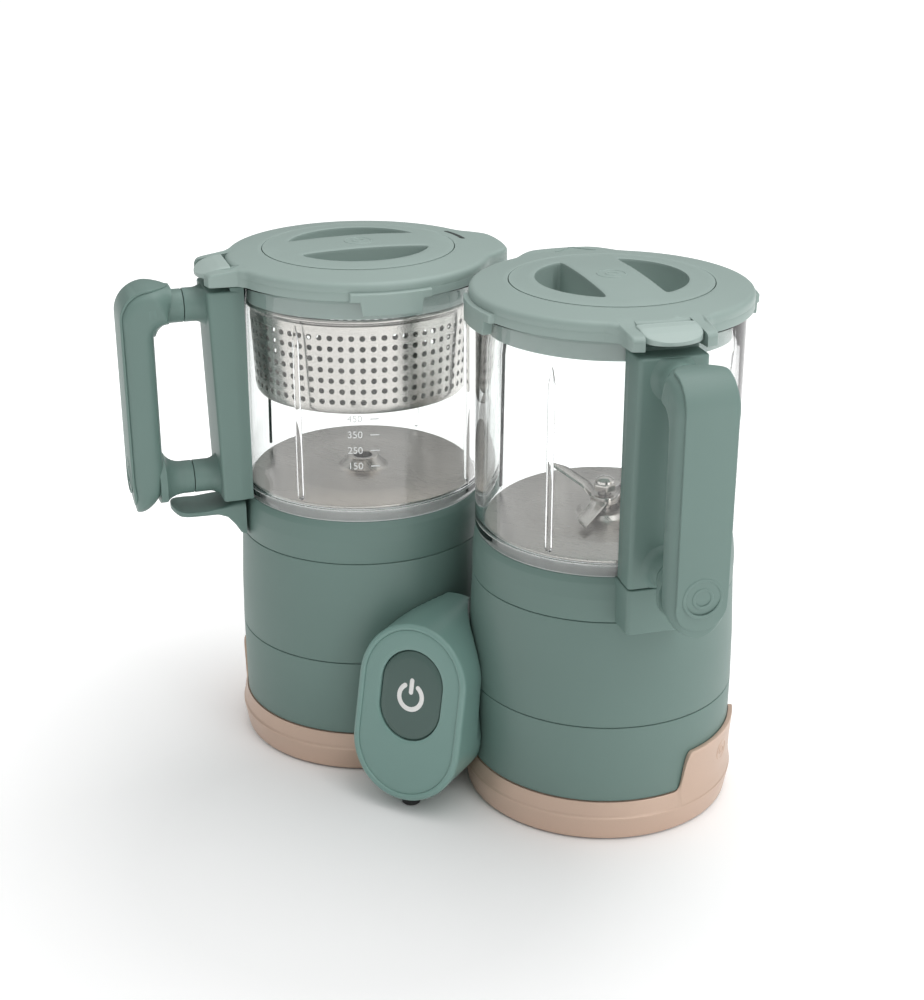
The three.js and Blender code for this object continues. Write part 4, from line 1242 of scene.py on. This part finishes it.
# ---------------------------------------------------------------- stage
def stage_floor():
    """A wide pale disc under the object. It glows more with distance, so that the backdrop stays white."""
    radius = 9.0
    disc = bpy.data.meshes.new("floor")
    a = np.linspace(0, FULL_TURN, 96, endpoint=False)
    disc.from_pydata(np.stack([radius * np.cos(a), radius * np.sin(a), 0 * a], 1), [], [list(range(96))])
    material, g = new_finish("Studio_floor")
    tone = g.blend(g.noise(3.0, 4.0), (0.93, 0.93, 0.93), (0.95, 0.95, 0.95))
    axes = g.node("ShaderNodeSeparateXYZ", {}, {"Vector": g.object_place()})
    x, y = (Value(g, axes.outputs[i]) for i in (0, 1))
    # the glow is painted light: it starts about a point just in front of the object, so the floor stays
    # darkest there
    away = (x * x * 0.9 + (y + 0.12) * (y + 0.12)) ** 0.5
    glow = g.blend(((away - 0.10) * 3.4).clamped(), (0.0, 0.0, 0.0), (0.42, 0.42, 0.42))
    g.output(g.surface({"Base Color": tone, "Roughness": 0.75, "Specular IOR Level": 0.2,
                        "Emission Color": glow, "Emission Strength": 1.0}))
    disc.materials.append(material)
    floor = bpy.data.objects.new("floor", disc)
    bpy.context.scene.collection.objects.link(floor)


def soft_light(name, place, aim, size, power):
    lamp = bpy.data.lights.new(name, "AREA")
    lamp.shape = "RECTANGLE"
    lamp.size, lamp.size_y = size
    lamp.energy = power
    holder = bpy.data.objects.new(name, lamp)
    holder.location = place
    holder.rotation_euler = (Vector(aim) - Vector(place)).to_track_quat("-Z", "Y").to_euler()
    bpy.context.scene.collection.objects.link(holder)


class FOODMAKER_OT_stage(bpy.types.Operator):
    """Pale floor, soft studio light and the camera"""
    bl_idname = "food_maker.stage"
    bl_label = "Stage and camera"

    def execute(self, context):
        scene = context.scene
        scene.view_settings.view_transform = "Standard"
        scene.view_settings.look = "None"
        stage_floor()
        world = bpy.data.worlds.new("Studio")
        scene.world = world
        g = Graph(world)
        place = g.node("ShaderNodeTexCoord").outputs["Generated"]
        axes = g.node("ShaderNodeSeparateXYZ", {}, {"Vector": place})
        x, y, z = (Value(g, axes.outputs[i]) for i in range(3))
        overhead = ((z - 0.1) * 1.4).clamped()
        sides = ((x - 0.25) * 1.6).clamped()
        level = 0.14 + overhead * 0.72 + sides * 0.5 * (1 - overhead)
        seen = Value(g, g.node("ShaderNodeLightPath").outputs["Is Camera Ray"])
        strength = seen * 1.02 + (1 - seen) * level
        g.output(g.node("ShaderNodeBackground", {}, {"Color": (1, 1, 1), "Strength": strength}).outputs[0],
                 "ShaderNodeOutputWorld")
        aim = (0, 0.01, 0.13)
        soft_light("key", (0.95, -0.45, 1.5), aim, (1.0, 0.9), 4)
        soft_light("top", (0.25, 0.35, 1.7), aim, (1.4, 1.2), 9)
        soft_light("right_strip", (1.5, -0.55, 0.45), aim, (0.3, 1.1), 2.0)
        camera = bpy.data.cameras.new("camera")
        camera.lens = 61.46
        camera.sensor_width = 36
        holder = bpy.data.objects.new("camera", camera)
        back = Vector((0.43979, -0.81585, 0.37547))
        holder.rotation_euler = (-back).to_track_quat("-Z", "Y").to_euler()
        holder.location = Vector((0.3915, -0.7457 + AXIS["left"][1] * MM, 0.4856))
        scene.collection.objects.link(holder)
        scene.camera = holder
        return {"FINISHED"}


class FOODMAKER_PT_panel(bpy.types.Panel):
    """Lists the food maker's settings and its steps"""
    bl_idname = "FOODMAKER_PT_panel"
    bl_label = "Food Maker"
    bl_space_type = "VIEW_3D"
    bl_region_type = "UI"
    bl_category = "Food Maker"

    def draw(self, context):
        for group in (context.scene.food_maker_sizes, context.scene.food_maker_colours):
            column = self.layout.column(align=True)
            for key in group.__annotations__:
                column.prop(group, key)
        for step in STEPS:
            self.layout.operator(step.bl_idname)


STEPS = (
    FOODMAKER_OT_foot_rings, FOODMAKER_OT_shells, FOODMAKER_OT_control_pod, FOODMAKER_OT_release_lever,
    FOODMAKER_OT_glass_jars, FOODMAKER_OT_handles, FOODMAKER_OT_jar_floors, FOODMAKER_OT_blades,
    FOODMAKER_OT_basket, FOODMAKER_OT_lids, FOODMAKER_OT_latches, FOODMAKER_OT_frame_finishes,
    FOODMAKER_OT_stage,
)
CLASSES = (FoodMakerSizes, FoodMakerColours, *STEPS, FOODMAKER_PT_panel)


def register():
    for item in CLASSES:
        bpy.utils.register_class(item)
    bpy.types.Scene.food_maker_sizes = bpy.props.PointerProperty(type=FoodMakerSizes)
    bpy.types.Scene.food_maker_colours = bpy.props.PointerProperty(type=FoodMakerColours)


def unregister():
    del bpy.types.Scene.food_maker_sizes
    del bpy.types.Scene.food_maker_colours
    for item in reversed(CLASSES):
        bpy.utils.unregister_class(item)


def main():
    """Registers the add-on and runs every step in order."""
    register()
    for step in STEPS:
        group, name = step.bl_idname.split(".")
        getattr(getattr(bpy.ops, group), name)()
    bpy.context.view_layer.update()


if __name__ == "__main__":
    main()
